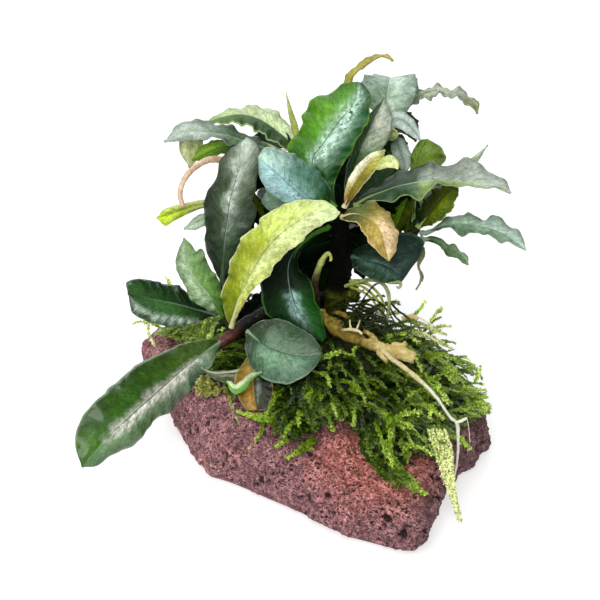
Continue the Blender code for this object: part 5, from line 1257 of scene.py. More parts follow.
def make_stone():
    """The stone's form, remeshed finely and then weathered: lumps, ridges and open pores."""
    ball = bmesh.new()
    bmesh.ops.create_uvsphere(ball, u_segments=120, v_segments=60, radius=1.0)
    rings = len(STONE_PROFILE) - 1
    for corner in ball.verts:
        turn = math.atan2(corner.co.y, corner.co.x)
        tilt = math.asin(min(max(corner.co.z, -1.0), 1.0))
        if tilt < -STONE_TURN_DOWN:
            share = (tilt + math.pi / 2) / (math.pi / 2 - STONE_TURN_DOWN)
            corner.co = stone_point(turn, 0.0) * share
        else:
            ring = (tilt + STONE_TURN_DOWN) / (math.pi / 2 + STONE_TURN_DOWN) * rings
            corner.co = stone_point(turn, min(ring, rings))
    mesh = bpy.data.meshes.new("stone form")
    ball.to_mesh(mesh)
    ball.free()
    form = bpy.data.objects.new("stone form", mesh)
    scene.collection.objects.link(form)
    fine = form.modifiers.new("fine", "REMESH")
    fine.mode = "VOXEL"
    fine.voxel_size = STONE_VOXEL
    bpy.context.view_layer.update()
    rough = settled(form)
    bpy.data.meshes.remove(mesh)
    # Each point keeps how deep its pore is, for the painted shade in the pores
    pore_depth_layer = rough.attributes.new("pit", "FLOAT", "POINT")
    depths = []
    moved = []
    for corner in rough.vertices:
        here = corner.co
        still = ease(0.2, 2.5, here.z)
        broad = noise.fractal(here / 6.0, 0.8, 2.1, 3) * 0.9
        crag = noise.ridged_multi_fractal(here / 5.0 + Vector((7, 3, 1)), 0.9, 2.2, 4, 1.0, 2.0)
        crumb = noise.noise(here / 0.9) * 0.22
        small = noise.voronoi(here / 1.35)[0][0]
        patch = ease(-0.25, 0.3, noise.noise(here / 7.0 + Vector((1, 5, 9))))
        wide = noise.voronoi(here / 4.2 + Vector((3, 3, 3)))[0][0]
        pore = ease(0.45, 0.15, small) * 0.85 * (0.35 + 0.65 * patch)
        cave = ease(0.3, 0.12, wide) * 1.5 * ease(0.0, 0.25, noise.noise(here / 5.0))
        push = (broad + (crag - 1.1) * 0.6 + crumb - pore - cave) * still
        moved.append(here + corner.normal * push)
        depths.append(min(pore + cave, 1.5) * still)
    for corner, here, depth in zip(rough.vertices, moved, depths):
        corner.co = Vector((here.x, here.y, max(here.z, 0.0))) * MM
    pore_depth_layer.data.foreach_set("value", depths)
    return rough


def stone_paint():
    paint, tree, shader, _ = new_paint("lava stone")
    where = add(tree, "ShaderNodeTexCoord").outputs["Object"]
    pit = add(tree, "ShaderNodeAttribute", attribute_name="pit").outputs["Fac"]
    broad = grain(tree, where, 16.0, 4.0, 0.6)
    mid = grain(tree, where, 3.0, 4.0, 0.65)
    fine = grain(tree, where, 0.8, 3.0, 0.7)
    dust = grain(tree, where, 0.3, 2.0, 0.7)
    # Redder, fresher rock in a patch in front, under the edge of the moss; the colour is brightened towards the
    # left and dulled towards the right
    off = add(tree, "ShaderNodeVectorMath", {0: where, 1: STONE_RED_AT}, operation="DISTANCE").outputs[1]
    off = maths(tree, "ADD", off, maths(tree, "MULTIPLY", broad, 0.012))
    fresh = rise(tree, off, 0.026, 0.014)
    fresh = maths(tree, "MAXIMUM", fresh, rise(tree, broad, 0.62, 0.75, 0.0, 0.6))
    purple = blended(tree, rise(tree, mid, 0.3, 0.7), (0.1, 0.04, 0.045), (0.3, 0.14, 0.145))
    red = blended(tree, rise(tree, mid, 0.3, 0.7), (0.2, 0.05, 0.04), (0.5, 0.19, 0.16))
    colour = blended(tree, fresh, purple, red)
    across = add(tree, "ShaderNodeSeparateXYZ", {0: where}).outputs[0]
    bright = rise(tree, across, -0.034, -0.012, 1.9, 1.45)
    bright = maths(tree, "MULTIPLY", bright, rise(tree, across, 0.038, 0.046, 1.0, 0.7))
    bright = maths(tree, "MULTIPLY", bright, rise(tree, across, 0.012, 0.03, 1.0, 0.82))
    tone = maths(tree, "MULTIPLY", bright, rise(tree, fine, 0.32, 0.68, 0.4, 1.45))
    tone = maths(tree, "MULTIPLY", tone, rise(tree, dust, 0.34, 0.66, 0.4, 1.5))
    shade = add(tree, "ShaderNodeCombineColor", {0: tone, 1: tone, 2: tone}).outputs[0]
    colour = blended(tree, 1.0, colour, shade, "MULTIPLY")
    speck = rise(tree, maths(tree, "ADD", dust, maths(tree, "MULTIPLY", fine, 0.6)), 0.98, 1.08)
    colour = blended(tree, maths(tree, "MULTIPLY", speck, 0.7), colour, (0.62, 0.4, 0.4))
    squashed = add(tree, "ShaderNodeVectorMath", {0: where, 1: (1.0, 1.0, 1.7)},
                   operation="MULTIPLY").outputs[0]
    crumbs = add(tree, "ShaderNodeTexVoronoi", {"Vector": squashed, "Scale": 1.0 / (1.1 * MM)})
    hole = maths(tree, "ADD", crumbs.outputs["Distance"], maths(tree, "MULTIPLY", dust, 0.4))
    hole = rise(tree, hole, 0.56, 0.42)
    hole = maths(tree, "MULTIPLY", hole, rise(tree, mid, 0.42, 0.54))
    # Pores and holes are painted near-black: painted shade inside them
    dark = maths(tree, "MAXIMUM", rise(tree, pit, 0.08, 0.6), maths(tree, "MULTIPLY", hole, 0.9))
    colour = blended(tree, maths(tree, "MULTIPLY", dark, 0.92), colour, (0.012, 0.004, 0.005))
    tree.links.new(colour, shader.inputs["Base Color"])
    shader.inputs["Roughness"].default_value = 0.7
    shader.inputs["Specular IOR Level"].default_value = 0.35
    height = maths(tree, "SUBTRACT", maths(tree, "ADD", fine, mid), hole)
    height = maths(tree, "ADD", height, maths(tree, "MULTIPLY", dust, 0.3))
    bumped(tree, shader, height, 0.5)
    return paint


stone_mesh = make_stone()
stone_tree = BVHTree.FromPolygons(
    [corner.co / MM for corner in stone_mesh.vertices],
    [tuple(face.vertices) for face in stone_mesh.polygons],
)
show("lava_stone", stone_mesh, [stone_paint()], "stone", "stone")

# The moss: where its edge lies, as a ring of the stone, towards each angle in degrees
MOSS_EDGE = [
    (-180, 6.6), (-150, 8.0), (-120, 7.4), (-104, 5.4), (-95, 4.7), (-84, 5.0), (-74, 6.4),
    (-62, 6.0), (-50, 4.6), (-30, 4.3), (0, 4.4), (30, 4.2), (90, 4.3), (120, 4.6), (140, 5.6),
    (180, 6.6),
]
STONE_REACH = 60.0
MOSS_SIDES = 144
MOSS_STEPS = 40
MOSS_DEPTH = 5.0
MOSS_LUMP = 1.6
MOSS_CLEAR = 0.9
MOSS_HUMPS = [(27, 17, 4.5, 15), (41, 2, 3.0, 10), (9, 18, 1.5, 10)]
MOSS_THIN = [(-50, 0.5), (-15, 0.6), (0, 0.95), (25, 1.15), (50, 1.2)]
MOSS_LEAN = [(3.0, 0.95), (4.5, 0.6), (6.0, 0.25), (8.0, 0.0), (10.0, 0.0)]
# On the sheet: how low the moss hangs at each x, and how far right it reaches at each y
MOSS_HEM = [
    (135, 334), (168, 336), (186, 346), (194, 394), (214, 398), (226, 384), (238, 408), (262, 414),
    (275, 440), (300, 440), (318, 432), (334, 422), (346, 420), (358, 436), (372, 462), (388, 474),
    (404, 470), (414, 452), (426, 456), (438, 462), (452, 436), (468, 424), (490, 414), (500, 408),
]
MOSS_REACH = [
    (290, 380), (302, 402), (308, 428), (318, 446), (340, 457), (362, 472), (382, 485),
    (400, 491), (416, 489), (426, 474), (600, 470),
]


def moss_point(turn, step):
    """The top of the moss bed: step 0 is its edge, and step 1 the middle."""
    degrees = math.degrees((turn + math.pi) % math.tau - math.pi)
    edge = ramp(MOSS_EDGE, degrees)
    ring = edge + (len(STONE_PROFILE) - 1 - edge) * step
    here = stone_point(turn, ring)
    out = Vector((here.x, here.y, 0.0)).normalized()
    lean = ramp(MOSS_LEAN, ring)
    away = (out * lean + Vector((0.0, 0.0, 1.0 - 0.6 * lean))).normalized()
    under = here + away * MOSS_CLEAR
    plump = MOSS_DEPTH * min(1.0, 1.5 * step) + MOSS_LUMP * noise.fractal(under / 7.0, 1.0, 2.0, 3)
    plump *= ramp(MOSS_THIN, under.x)
    for x, y, extra, reach in MOSS_HUMPS:
        off = math.hypot(under.x - x, under.y - y) / reach
        plump += extra * math.exp(-off * off) * min(1.0, 0.2 + 2.5 * step)
    fall = ease(0.0, 0.06, step)
    spot = sheet_spot(under)
    fall *= ease(2.0, 14.0, ramp(MOSS_HEM, spot[0]) - spot[1])
    fall *= ease(0.0, 12.0, ramp(MOSS_REACH, spot[1]) - spot[0])
    return here + away * (max(plump * 0.62, 0.5) * fall - 1.6 * (1.0 - fall))


def make_moss_bed():
    """The brown, tangled bed that the green shoots grow out of."""
    bed = bmesh.new()
    bmesh.ops.create_grid(bed, x_segments=MOSS_SIDES, y_segments=MOSS_STEPS, size=1.0)
    for corner in bed.verts:
        turn = corner.co.x * math.pi
        step = min((corner.co.y + 1.0) / 2.0, 0.999)
        here = moss_point(turn, step)
        shag = noise.noise(here / 0.9) * 0.5 + noise.noise(here / 2.3) * 0.6
        corner.co = here + Vector((0.0, 0.0, 1.0)) * shag * ease(0.0, 0.08, step)
    bmesh.ops.remove_doubles(bed, verts=bed.verts, dist=0.02)
    bmesh.ops.recalc_face_normals(bed, faces=bed.faces)
    if sum(face.normal.z for face in bed.faces) < 0:
        bmesh.ops.reverse_faces(bed, faces=bed.faces)
    bmesh.ops.solidify(bed, geom=bed.faces, thickness=1.2)
    bmesh.ops.recalc_face_normals(bed, faces=bed.faces)
    # The wall's faces come in no fixed order, and the shoots need one to grow the same each run
    bed.verts.index_update()
    ranked = sorted(bed.faces, key=lambda face: sorted(corner.index for corner in face.verts))
    for place_in_order, face in enumerate(ranked):
        face.index = place_in_order
    bed.faces.sort()
    mesh = bpy.data.meshes.new("moss bed")
    bed.to_mesh(mesh)
    bed.free()
    return mesh


bed_mesh = make_moss_bed()
bed_tree = BVHTree.FromPolygons(
    [corner.co for corner in bed_mesh.vertices],
    [tuple(face.vertices) for face in bed_mesh.polygons],
)
bed_mesh.transform(Matrix.Scale(MM, 4))
show("moss_bed", bed_mesh,
     [plain_paint("moss bed", (0.05, 0.06, 0.01), (0.006, 0.008, 0.003), 1.2, 0.8, 0.0, 0.6)],
     "moss", "moss_cushion")
plant_tree = BVHTree.FromPolygons(plant_points, plant_faces)


def moss_paint(name, root_colour, middle, tip, share):
    """A shoot is dull at its foot and fresh at its tip."""
    paint, tree, shader, output = new_paint(name)
    where = add(tree, "ShaderNodeTexCoord").outputs["Object"]
    fresh = add(tree, "ShaderNodeAttribute", attribute_name="fresh").outputs["Fac"]
    patch = grain(tree, where, 5.0, 2.0)
    small = grain(tree, where, 0.45, 2.0)
    level = maths(tree, "ADD", fresh, maths(tree, "MULTIPLY", maths(tree, "SUBTRACT", patch, 0.5), 0.9))
    spots = add(tree, "ShaderNodeSeparateXYZ", {0: where}).outputs
    level = maths(tree, "ADD", level, rise(tree, spots[0], 0.016, 0.038, 0.0, 0.45))
    level = maths(tree, "ADD", level, rise(tree, spots[0], -0.021, -0.029, 0.0, 0.5))
    colour = colour_run(tree, level, [(0.05, root_colour), (0.5, middle), (1.0, tip)])
    # Fine tone from leaf to leaf: random variation, and painted glints where it brightens
    tone = rise(tree, small, 0.36, 0.64, 0.45, 1.6)
    shade = add(tree, "ShaderNodeCombineColor", {0: tone, 1: tone, 2: tone}).outputs[0]
    colour = blended(tree, 1.0, colour, shade, "MULTIPLY")
    tree.links.new(colour, shader.inputs["Base Color"])
    shader.inputs["Roughness"].default_value = 0.34
    shader.inputs["Coat Weight"].default_value = 0.3
    shader.inputs["Coat Roughness"].default_value = 0.15
    let_light_through(tree, shader, output, colour, share)
    return paint


def off_the_ground(here, clear):
    """Moves a point out of the stone and the moss bed, to at least this far above them."""
    for tree in (stone_tree, bed_tree):
        spot, normal, _, _ = tree.find_nearest(here)
        height = (here - spot).dot(normal)
        if height < clear:
            here = here + normal * (clear - height)
    return here


def clear_of_plant(here):
    """Whether moss here neither touches the plant nor stands in front of it."""
    if here.z < 0.4:
        return False
    if plant_tree.find_nearest(here, 0.9)[0] is not None:
        return False
    return plant_tree.ray_cast(here, SHEET_IN, 16.0)[0] is None


def in_bounds(here):
    x, y = sheet_spot(here)
    return y < ramp(MOSS_HEM, x) and x < ramp(MOSS_REACH, y)


class Shoots:
    """Moss shoots as lines, to be clothed with tiny leaves all together."""

    def __init__(self, seed):
        self.dice = random.Random(seed)
        self.lines = []

    def branch(self, path, side_length, every, start):
        """A main shoot with branches to its left and right, shorter towards its tip."""
        self.lines.append((path, start))
        count = len(path)
        for index in range(2, count - 1, every):
            ahead = (path[index + 1] - path[index - 1]).normalized()
            _, up, _, _ = stone_tree.find_nearest(path[index])
            aside = ahead.cross(up)
            if aside.length < 0.05:
                continue
            aside.normalize()
            share = index / count
            for sign in (-1.0, 1.0):
                if self.dice.random() < 0.25:
                    continue
                long = side_length * (1.1 - 0.8 * share) * self.dice.uniform(0.6, 1.3)
                way = ahead + aside * sign * self.dice.uniform(0.3, 0.7)
                way = (way + up * self.dice.uniform(-0.1, 0.35)).normalized()
                twig = [path[index]]
                for _ in range(4):
                    way = (way + ahead * 0.1 + Vector((0.0, 0.0, -0.06))).normalized()
                    twig.append(twig[-1] + way * long / 4)
                if clear_of_plant(twig[-1]) and clear_of_plant(twig[2]):
                    self.lines.append((twig, start + 0.15 * share))

    def frond(self, path, strands, wide, side_length, start):
        """A feathery frond: strands side by side that meet at its tip."""
        for strand in range(strands):
            share = 2.0 * strand / (strands - 1) - 1.0 if strands > 1 else 0.0
            line = []
            for index, here in enumerate(path):
                t = index / (len(path) - 1)
                ahead = path[min(index + 1, len(path) - 1)] - path[max(index - 1, 0)]
                _, up, _, _ = stone_tree.find_nearest(here)
                aside = ahead.cross(up).normalized()
                spread = wide * share * math.sin(math.pi * min(0.2 + 0.8 * t, 1.0)) ** 0.7
                line.append(here + aside * spread - up * abs(spread) * 0.35)
            self.branch(line, side_length, 2 if side_length else 99, start - 0.12 * abs(share))

    def creep(self, start, way, steps, stride, clear, sag, side_length, every, fresh, free=False, bend=0.13):
        """A shoot that grows from here along the ground and droops over its edge."""
        path = [start]
        here = start.copy()
        way = way.normalized()
        for index in range(steps):
            turn = Vector([self.dice.uniform(-bend, bend) for _ in range(3)])
            way = (way + turn + Vector((0.0, 0.0, -sag * (0.4 + index / steps)))).normalized()
            here = off_the_ground(here + way * stride, clear + 0.2 * math.sin(index * 1.3))
            if not clear_of_plant(here) or not (free or in_bounds(here)):
                break
            way = (here - path[-1]).normalized()
            path.append(here)
        if len(path) > 3:
            self.branch(path, side_length, every, fresh)
        return len(path) > 3


# One tiny moss leaf, 1 mm long before scaling: a diamond, folded along its middle
tiny = bmesh.new()
bmesh.ops.create_grid(tiny, x_segments=1, y_segments=1, size=0.5)
bmesh.ops.rotate(tiny, verts=tiny.verts, matrix=Matrix.Rotation(math.pi / 4, 3, "Z"))
for corner in tiny.verts:
    side = corner.co.x / 0.7071
    corner.co = (side * 0.19, abs(side) * 0.1, 0.4 if abs(side) > 0.5 else 0.5 + corner.co.y / 1.4142)
bmesh.ops.connect_verts(tiny, verts=[corner for corner in tiny.verts if abs(corner.co.x) < 0.1])
tiny_mesh = bpy.data.meshes.new("tiny leaf")
tiny.to_mesh(tiny_mesh)
tiny.free()
tiny_leaf = bpy.data.objects.new("tiny leaf", tiny_mesh)
scene.collection.objects.link(tiny_leaf)


def clothing(leaf_length, spacing, spread, wild):
    """Geometry nodes that set rows of tiny leaves on both sides and on top of a set of curves."""
    tree = bpy.data.node_groups.new("clothe", "GeometryNodeTree")
    tree.interface.new_socket("Geometry", in_out="INPUT", socket_type="NodeSocketGeometry")
    tree.interface.new_socket("Geometry", in_out="OUTPUT", socket_type="NodeSocketGeometry")
    given = tree.nodes.new("NodeGroupInput")
    result = tree.nodes.new("NodeGroupOutput")
    reach = add(tree, "GeometryNodeSplineParameter").outputs[0]
    radius = add(tree, "GeometryNodeInputRadius").outputs[0]
    flow = given.outputs[0]
    for name, value in (("fresh", maths(tree, "ADD", maths(tree, "MULTIPLY", reach, 0.45), radius)),
                        ("reach", reach)):
        kept = add(tree, "GeometryNodeStoreNamedAttribute", {"Geometry": flow, "Name": name},
                   data_type="FLOAT", domain="POINT")
        tree.links.new(value, kept.inputs["Value"])
        flow = kept.outputs[0]
    points = add(tree, "GeometryNodeCurveToPoints", {"Curve": flow, "Length": spacing}, mode="LENGTH")
    leaf = add(tree, "GeometryNodeObjectInfo", {"Object": tiny_leaf})
    joined = tree.nodes.new("GeometryNodeJoinGeometry")
    index = add(tree, "GeometryNodeInputIndex").outputs[0]
    along = add(tree, "GeometryNodeInputNamedAttribute", {"Name": "reach"}, data_type="FLOAT")
    shrink = maths(tree, "MULTIPLY", maths(tree, "POWER", along.outputs[0], 3.0), 0.6)
    taper = maths(tree, "SUBTRACT", 1.0, shrink)

    def dice(low, high, seed):
        return add(tree, "FunctionNodeRandomValue", {2: low, 3: high, "ID": index, "Seed": seed},
                   data_type="FLOAT").outputs[1]

    for number, lean in enumerate((spread, -spread, 0.0)):
        lift = dice(-0.2, 0.3, number) if lean else dice(0.15, 0.55, number)
        tilt = maths(tree, "ADD", dice(-0.25, 0.25, number + 4), lean)
        angles = add(tree, "ShaderNodeCombineXYZ",
                     {0: lift, 1: tilt, 2: dice(-wild, wild, number + 8)}).outputs[0]
        turned = add(tree, "FunctionNodeEulerToRotation", {0: angles}).outputs[0]
        turned = add(tree, "FunctionNodeRotateRotation",
                     {"Rotation": points.outputs["Rotation"], "Rotate By": turned},
                     rotation_space="LOCAL").outputs[0]
        size = maths(tree, "MULTIPLY", dice(leaf_length * 0.75, leaf_length * 1.2, number + 12), taper)
        made = add(tree, "GeometryNodeInstanceOnPoints",
                   {"Points": points.outputs[0], "Instance": leaf.outputs["Geometry"],
                    "Rotation": turned, "Scale": size})
        tree.links.new(made.outputs[0], joined.inputs[0])
    real = add(tree, "GeometryNodeRealizeInstances", {0: joined.outputs[0]})
    tree.links.new(real.outputs[0], result.inputs[0])
    return tree


def clothe(name, shoots, paint, leaf_length=1.0, spacing=0.34, spread=0.75, wild=0.3):
    line = bpy.data.curves.new(name, "CURVE")
    line.dimensions = "3D"
    line.twist_mode = "Z_UP"
    for path, start in shoots.lines:
        spline = line.splines.new("POLY")
        spline.points.add(len(path) - 1)
        for point, here in zip(spline.points, path):
            point.co = (*here, 1.0)
            point.radius = start
    moss = bpy.data.objects.new(name, line)
    scene.collection.objects.link(moss)
    dress = moss.modifiers.new("clothe", "NODES")
    dress.node_group = clothing(leaf_length, spacing, spread, wild)
    bpy.context.view_layer.update()
    mesh = settled(moss)
    bpy.data.curves.remove(line)
    mesh.transform(Matrix.Scale(MM, 4))
    return show(name, mesh, [paint], "moss")


def scatter(shoots, count, steps, stride, clear, sag, side_length, every, freshness):
    """Starts shoots all over the moss bed and lets them creep outwards and downhill."""
    dice = shoots.dice
    done = 0
    tries = 0
    while done < count and tries < count * 30:
        tries += 1
        turn = dice.uniform(-math.pi, math.pi)
        step = 1.0 - math.sqrt(dice.uniform(0.0, 1.0))
        here = moss_point(turn, step)
        # Directions in which the outline is far off get their share of shoots
        if dice.random() > (outline_at(turn)[0] / STONE_REACH) ** 2:
            continue
        spot, normal, _, _ = bed_tree.find_nearest(here)
        if not in_bounds(spot) or not clear_of_plant(spot + normal * clear):
            continue
        flow = Vector((here.x - 4.0, here.y - 16.0, 0.0)).normalized()
        flow += Vector((dice.gauss(0.0, 0.4), dice.gauss(0.0, 0.4), 0.0))
        flow += Vector((0.25, -0.35, 0.0))
        way = flow - normal * flow.dot(normal) + normal * dice.uniform(0.1, 0.4)
        done += shoots.creep(
            spot + normal * 0.2, way, steps + dice.randint(-2, 3), stride,
            clear * dice.uniform(0.6, 1.4), sag, side_length, every, dice.uniform(*freshness))


MOSS_PAINTS = {
    "deep": moss_paint("deep moss", (0.003, 0.006, 0.001), (0.014, 0.034, 0.006), (0.13, 0.2, 0.07), 0.15),
    "mid": moss_paint("middle moss", (0.01, 0.022, 0.002), (0.07, 0.14, 0.006), (0.34, 0.48, 0.08), 0.2),
    "fresh": moss_paint("fresh moss", (0.05, 0.11, 0.003), (0.28, 0.46, 0.014), (0.7, 0.84, 0.2), 0.3),
    "pale": moss_paint("pale moss", (0.26, 0.33, 0.03), (0.55, 0.64, 0.14), (0.84, 0.87, 0.48), 0.3),
    "old": moss_paint("old moss", (0.02, 0.02, 0.003), (0.12, 0.13, 0.012), (0.42, 0.42, 0.1), 0.2),
}
# Layers of shoots: name, paint, seed, count, steps, stride, height, sag, branch length, branches
# every so many points, leaf length, gap between leaves, and how far the leaves spread
MOSS_LAYERS = [
    ("moss_deep_1", "deep", 11, 430, 5, 1.0, 0.6, 0.12, 1.8, 1, 0.62, 0.24, 0.9),
    ("moss_deep_2", "deep", 12, 430, 5, 1.0, 0.9, 0.12, 1.8, 1, 0.62, 0.24, 0.9),
    ("moss_middle_1", "mid", 13, 260, 9, 1.1, 1.0, 0.14, 1.5, 1, 0.85, 0.22, 0.5),
    ("moss_middle_2", "mid", 15, 200, 11, 1.1, 1.5, 0.14, 1.7, 1, 0.95, 0.22, 0.42),
    ("moss_fresh", "fresh", 14, 110, 12, 1.15, 2.0, 0.16, 1.6, 1, 1.1, 0.2, 0.36),
]
for name, paint, seed, count, steps, stride, clear, sag, side, every, leaf_length, gap, spread in MOSS_LAYERS:
    layer = Shoots(seed)
    scatter(layer, count, steps, stride, clear, sag, side, every, (0.0, 0.5))
    clothe(name, layer, MOSS_PAINTS[paint], leaf_length, gap, spread, 1.2 if paint == "deep" else 0.3)

# Fronds that stand out: paint, strands, half width, twig length, height over the ground, sheet points
FRONDS = [
    ("fresh", 4, 0.9, 0.9, 1.2, [(292, 423), (280, 421), (268, 418), (254, 416), (237, 411)]),
    ("fresh", 5, 1.7, 1.2, 2.8, [(313, 380), (314, 392), (319, 406), (326, 418), (334, 431)]),
    ("mid", 4, 1.4, 1.2, 2.2, [(306, 388), (305, 400), (302, 412), (298, 422)]),
    ("fresh", 3, 1.0, 1.2, 1.4, [(318, 422), (304, 427), (290, 436), (276, 447)]),
    ("fresh", 2, 0.6, 1.0, 1.0, [(316, 436), (306, 446), (297, 452), (286, 458)]),
    ("fresh", 5, 1.5, 1.2, 3.0, [(350, 386), (362, 390), (374, 398), (384, 412), (390, 430), (392, 446)]),
    ("mid", 5, 2.0, 1.4, 2.4, [(366, 426), (376, 444), (388, 462), (402, 478), (420, 493)]),
    ("fresh", 4, 1.4, 1.2, 3.0, [(386, 448), (396, 460), (408, 475), (425, 495)]),
    ("mid", 3, 1.0, 1.2, 2.0, [(362, 440), (371, 456), (382, 470), (398, 487)]),
    ("fresh", 3, 0.9, 1.0, 2.4, [(400, 424), (420, 420), (438, 418), (456, 421)]),
    ("fresh", 3, 0.8, 1.0, 2.0, [(440, 428), (452, 434), (462, 440), (471, 449)]),
    ("mid", 3, 0.9, 1.2, 2.0, [(424, 428), (428, 438), (434, 446), (436, 452)]),
    ("fresh", 3, 1.0, 1.0, 2.2, [(340, 412), (354, 408), (368, 406), (384, 404)]),
    ("pale", 1, 0.0, 0.0, 0.7, [(229, 390), (229, 398), (233, 410), (239, 424)]),
    ("fresh", 1, 0.0, 0.0, 0.6, [(263, 424), (261, 432), (256, 440), (249, 448)]),
    ("pale", 2, 0.5, 1.2, 1.2, [(196, 322), (184, 326), (172, 329), (158, 331)]),
    ("pale", 2, 0.5, 1.2, 1.6, [(222, 318), (212, 320), (200, 321), (186, 320)]),
    ("pale", 1, 0.0, 0.0, 1.0, [(150, 320), (148, 330), (153, 342), (159, 352)]),
    ("mid", 4, 1.2, 1.2, 2.0, [(404, 364), (414, 372), (424, 384), (430, 398)]),
    ("fresh", 4, 1.2, 1.2, 2.4, [(424, 352), (438, 362), (450, 374), (458, 388)]),
    ("fresh", 3, 1.0, 1.2, 2.2, [(444, 360), (456, 372), (468, 384), (479, 397)]),
    ("fresh", 4, 1.3, 1.2, 2.6, [(412, 378), (422, 390), (434, 400), (446, 406)]),
    ("fresh", 4, 1.2, 1.2, 2.4, [(396, 384), (408, 394), (420, 404), (436, 410)]),
    ("pale", 2, 0.6, 1.2, 2.2, [(452, 388), (464, 396), (476, 402), (491, 406)]),
    ("pale", 3, 0.8, 1.2, 1.8, [(404, 318), (418, 322), (432, 328), (446, 335)]),
    ("pale", 3, 0.8, 1.2, 1.8, [(408, 330), (424, 334), (438, 340), (452, 349)]),
    ("fresh", 1, 0.0, 0.8, 1.4, [(412, 318), (417, 312), (421, 308), (425, 302)]),
    ("fresh", 1, 0.0, 0.8, 1.4, [(430, 322), (434, 316), (438, 312), (442, 308)]),
    ("fresh", 1, 0.0, 0.8, 1.4, [(474, 384), (477, 378), (479, 372), (481, 366)]),
]


def on_the_ground(x, y, lift):
    """The point seen at x, y this far above the ground, or above the ground just below it."""
    for drop in range(0, 60, 4):
        start = place(x, y + drop, 60.0)
        way = (place(x, y + drop, -80.0) - start).normalized()
        hits = [tree.ray_cast(start, way) for tree in (stone_tree, bed_tree)]
        hits = [hit for hit in hits if hit[0] is not None]
        if hits:
            spot, normal, _, _ = min(hits, key=lambda hit: hit[3])
            spot = spot + normal * lift
            return place(x, y, (VIEW_CENTRE - spot).dot(SHEET_IN))
    return place(x, y, 0.0)


sets = {paint: Shoots(number + 30) for number, paint in enumerate(("mid", "fresh", "pale", "old", "deep"))}
for paint, strands, wide, side_length, lift, spots in FRONDS:
    path = smooth_path([on_the_ground(x, y, lift) for x, y in spots], 14)
    sets[paint].frond(path, strands, wide, side_length, 0.4)
# The strand that hangs free at the right, and the tuft at the left edge
hanging = Shoots(50)
for top, low in ((434, 455), (438, 457), (442, 456), (446, 459), (450, 457)):
    rows = [(top - 6, 428, 7), (top, 446, 8.5), (top * 0.7 + low * 0.3, 466, 9),
            (top * 0.4 + low * 0.6, 486, 8.5), (low, 504 + (top % 3) * 3, 8), (low + 3, 515 + (top % 3) * 3, 7)]
    hanging.branch(smooth_path([place(*row) for row in rows], 26), 0.9, 2, 0.3)
tuft = Shoots(51)
for index in range(80):
    x = 192 + 38 * tuft.dice.random()
    start = place(x, 374 + 12 * tuft.dice.random(), -12.5)
    way = Vector((tuft.dice.uniform(-0.8, 0.6), -0.6, tuft.dice.uniform(-0.9, 0.5)))
    tuft.creep(start, way, 4, 0.9, 0.8, 0.2, 1.2, 2, tuft.dice.uniform(0.0, 0.7), True)
# Mossy fuzz up the right side of the trunk's foot and over the dark roots
dice = random.Random(52)
for index in range(26):
    x = dice.uniform(338, 357)
    near = -25.5 + abs(x - 345) * -0.12
    rise_by = dice.uniform(8, 20)
    rows = [(x, 303, near), (x + dice.uniform(-2, 2), 303 - rise_by * 0.5, near + 0.5),
            (x + dice.uniform(-2, 4), 303 - rise_by, near + dice.uniform(0.0, 1.5))]
    sets["old"].branch(smooth_path([place(*row) for row in rows], 7), 0.8, 2, dice.uniform(-0.2, 0.4))
for line in FINE_ROOTS["dark"][2]:
    path = smooth_path([place(x, y - 1, near) for x, y, near, _ in line], 12)
    sets["deep"].branch(path, 1.0, 1, dice.uniform(0.0, 0.3))
clothe("moss_right_strand", hanging, MOSS_PAINTS["pale"], 1.0, 0.2, 0.45)
clothe("moss_left_tuft", tuft, MOSS_PAINTS["old"], 0.8, 0.2, 0.6)
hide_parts("right_moss_strand")
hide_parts("left_moss_tuft")
for paint, fronds in sets.items():
    clothe("moss_fronds_" + paint, fronds, MOSS_PAINTS[paint], 0.7 if paint == "deep" else 1.15, 0.17, 0.42)


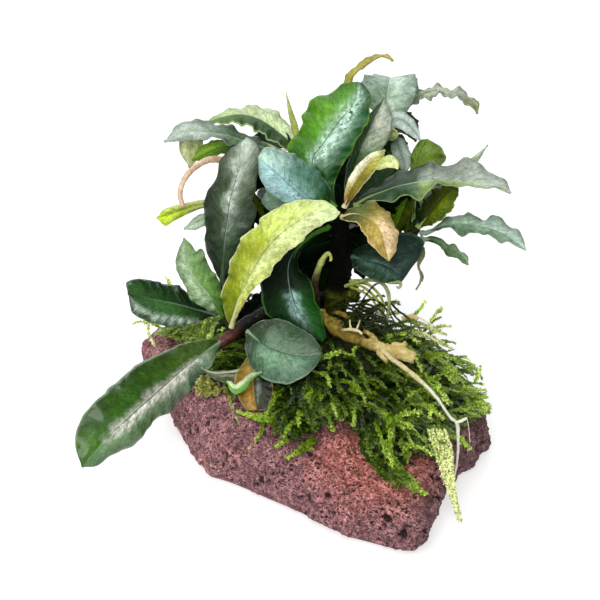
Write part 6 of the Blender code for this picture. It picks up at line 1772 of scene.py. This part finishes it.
# Camera, floor and lights
camera = bpy.data.objects.new("camera", bpy.data.cameras.new("camera"))
scene.collection.objects.link(camera)
camera.data.sensor_width = SENSOR
camera.data.lens = SENSOR * VIEW_DISTANCE / VIEW_WIDTH
camera.data.clip_start = 0.01
camera.location = (VIEW_CENTRE - SHEET_IN * VIEW_DISTANCE) * MM
camera.rotation_euler = SHEET_IN.to_track_quat("-Z", "Y").to_euler()
scene.camera = camera

ground = bmesh.new()
bmesh.ops.create_grid(ground, x_segments=1, y_segments=1, size=3.0)
floor_mesh = bpy.data.meshes.new("floor")
ground.to_mesh(floor_mesh)
ground.free()
floor = bpy.data.objects.new("floor", floor_mesh)
scene.collection.objects.link(floor)
floor.location.z = -0.0002
floor_paint, floor_tree, floor_shader, _ = new_paint("pale floor")
floor_shader.inputs["Base Color"].default_value = (0.55, 0.55, 0.55, 1.0)
floor_shader.inputs["Roughness"].default_value = 0.9
floor_shader.inputs["Emission Color"].default_value = (1.0, 1.0, 1.0, 1.0)
floor_shader.inputs["Emission Strength"].default_value = 0.6
floor_mesh.materials.append(floor_paint)

world = bpy.data.worlds.new("studio")
scene.world = world
world.use_nodes = True
world.node_tree.nodes["Background"].inputs[0].default_value = (0.94, 0.97, 1.0, 1.0)
world.node_tree.nodes["Background"].inputs[1].default_value = 0.22


def soft_light(name, where, size, power, colour):
    lamp = bpy.data.objects.new(name, bpy.data.lights.new(name, "AREA"))
    scene.collection.objects.link(lamp)
    lamp.data.shape = "SQUARE"
    lamp.data.size = size
    lamp.data.energy = power
    lamp.data.color = colour
    lamp.location = where
    lamp.rotation_euler = (Vector((0.0, 0.0, 0.04)) - Vector(where)).to_track_quat("-Z", "Y").to_euler()


soft_light("top light", (-0.15, 0.05, 0.6), 0.45, 1.5, (0.97, 0.98, 1.0))
soft_light("back light", (-0.05, 0.6, 0.42), 0.6, 2.2, (0.96, 0.98, 1.0))
soft_light("front light", (-0.12, -0.5, 0.5), 0.5, 4.2, (1.0, 0.99, 0.97))
scene.view_settings.view_transform = "Standard"

bpy.data.objects.remove(tiny_leaf, do_unlink=True)
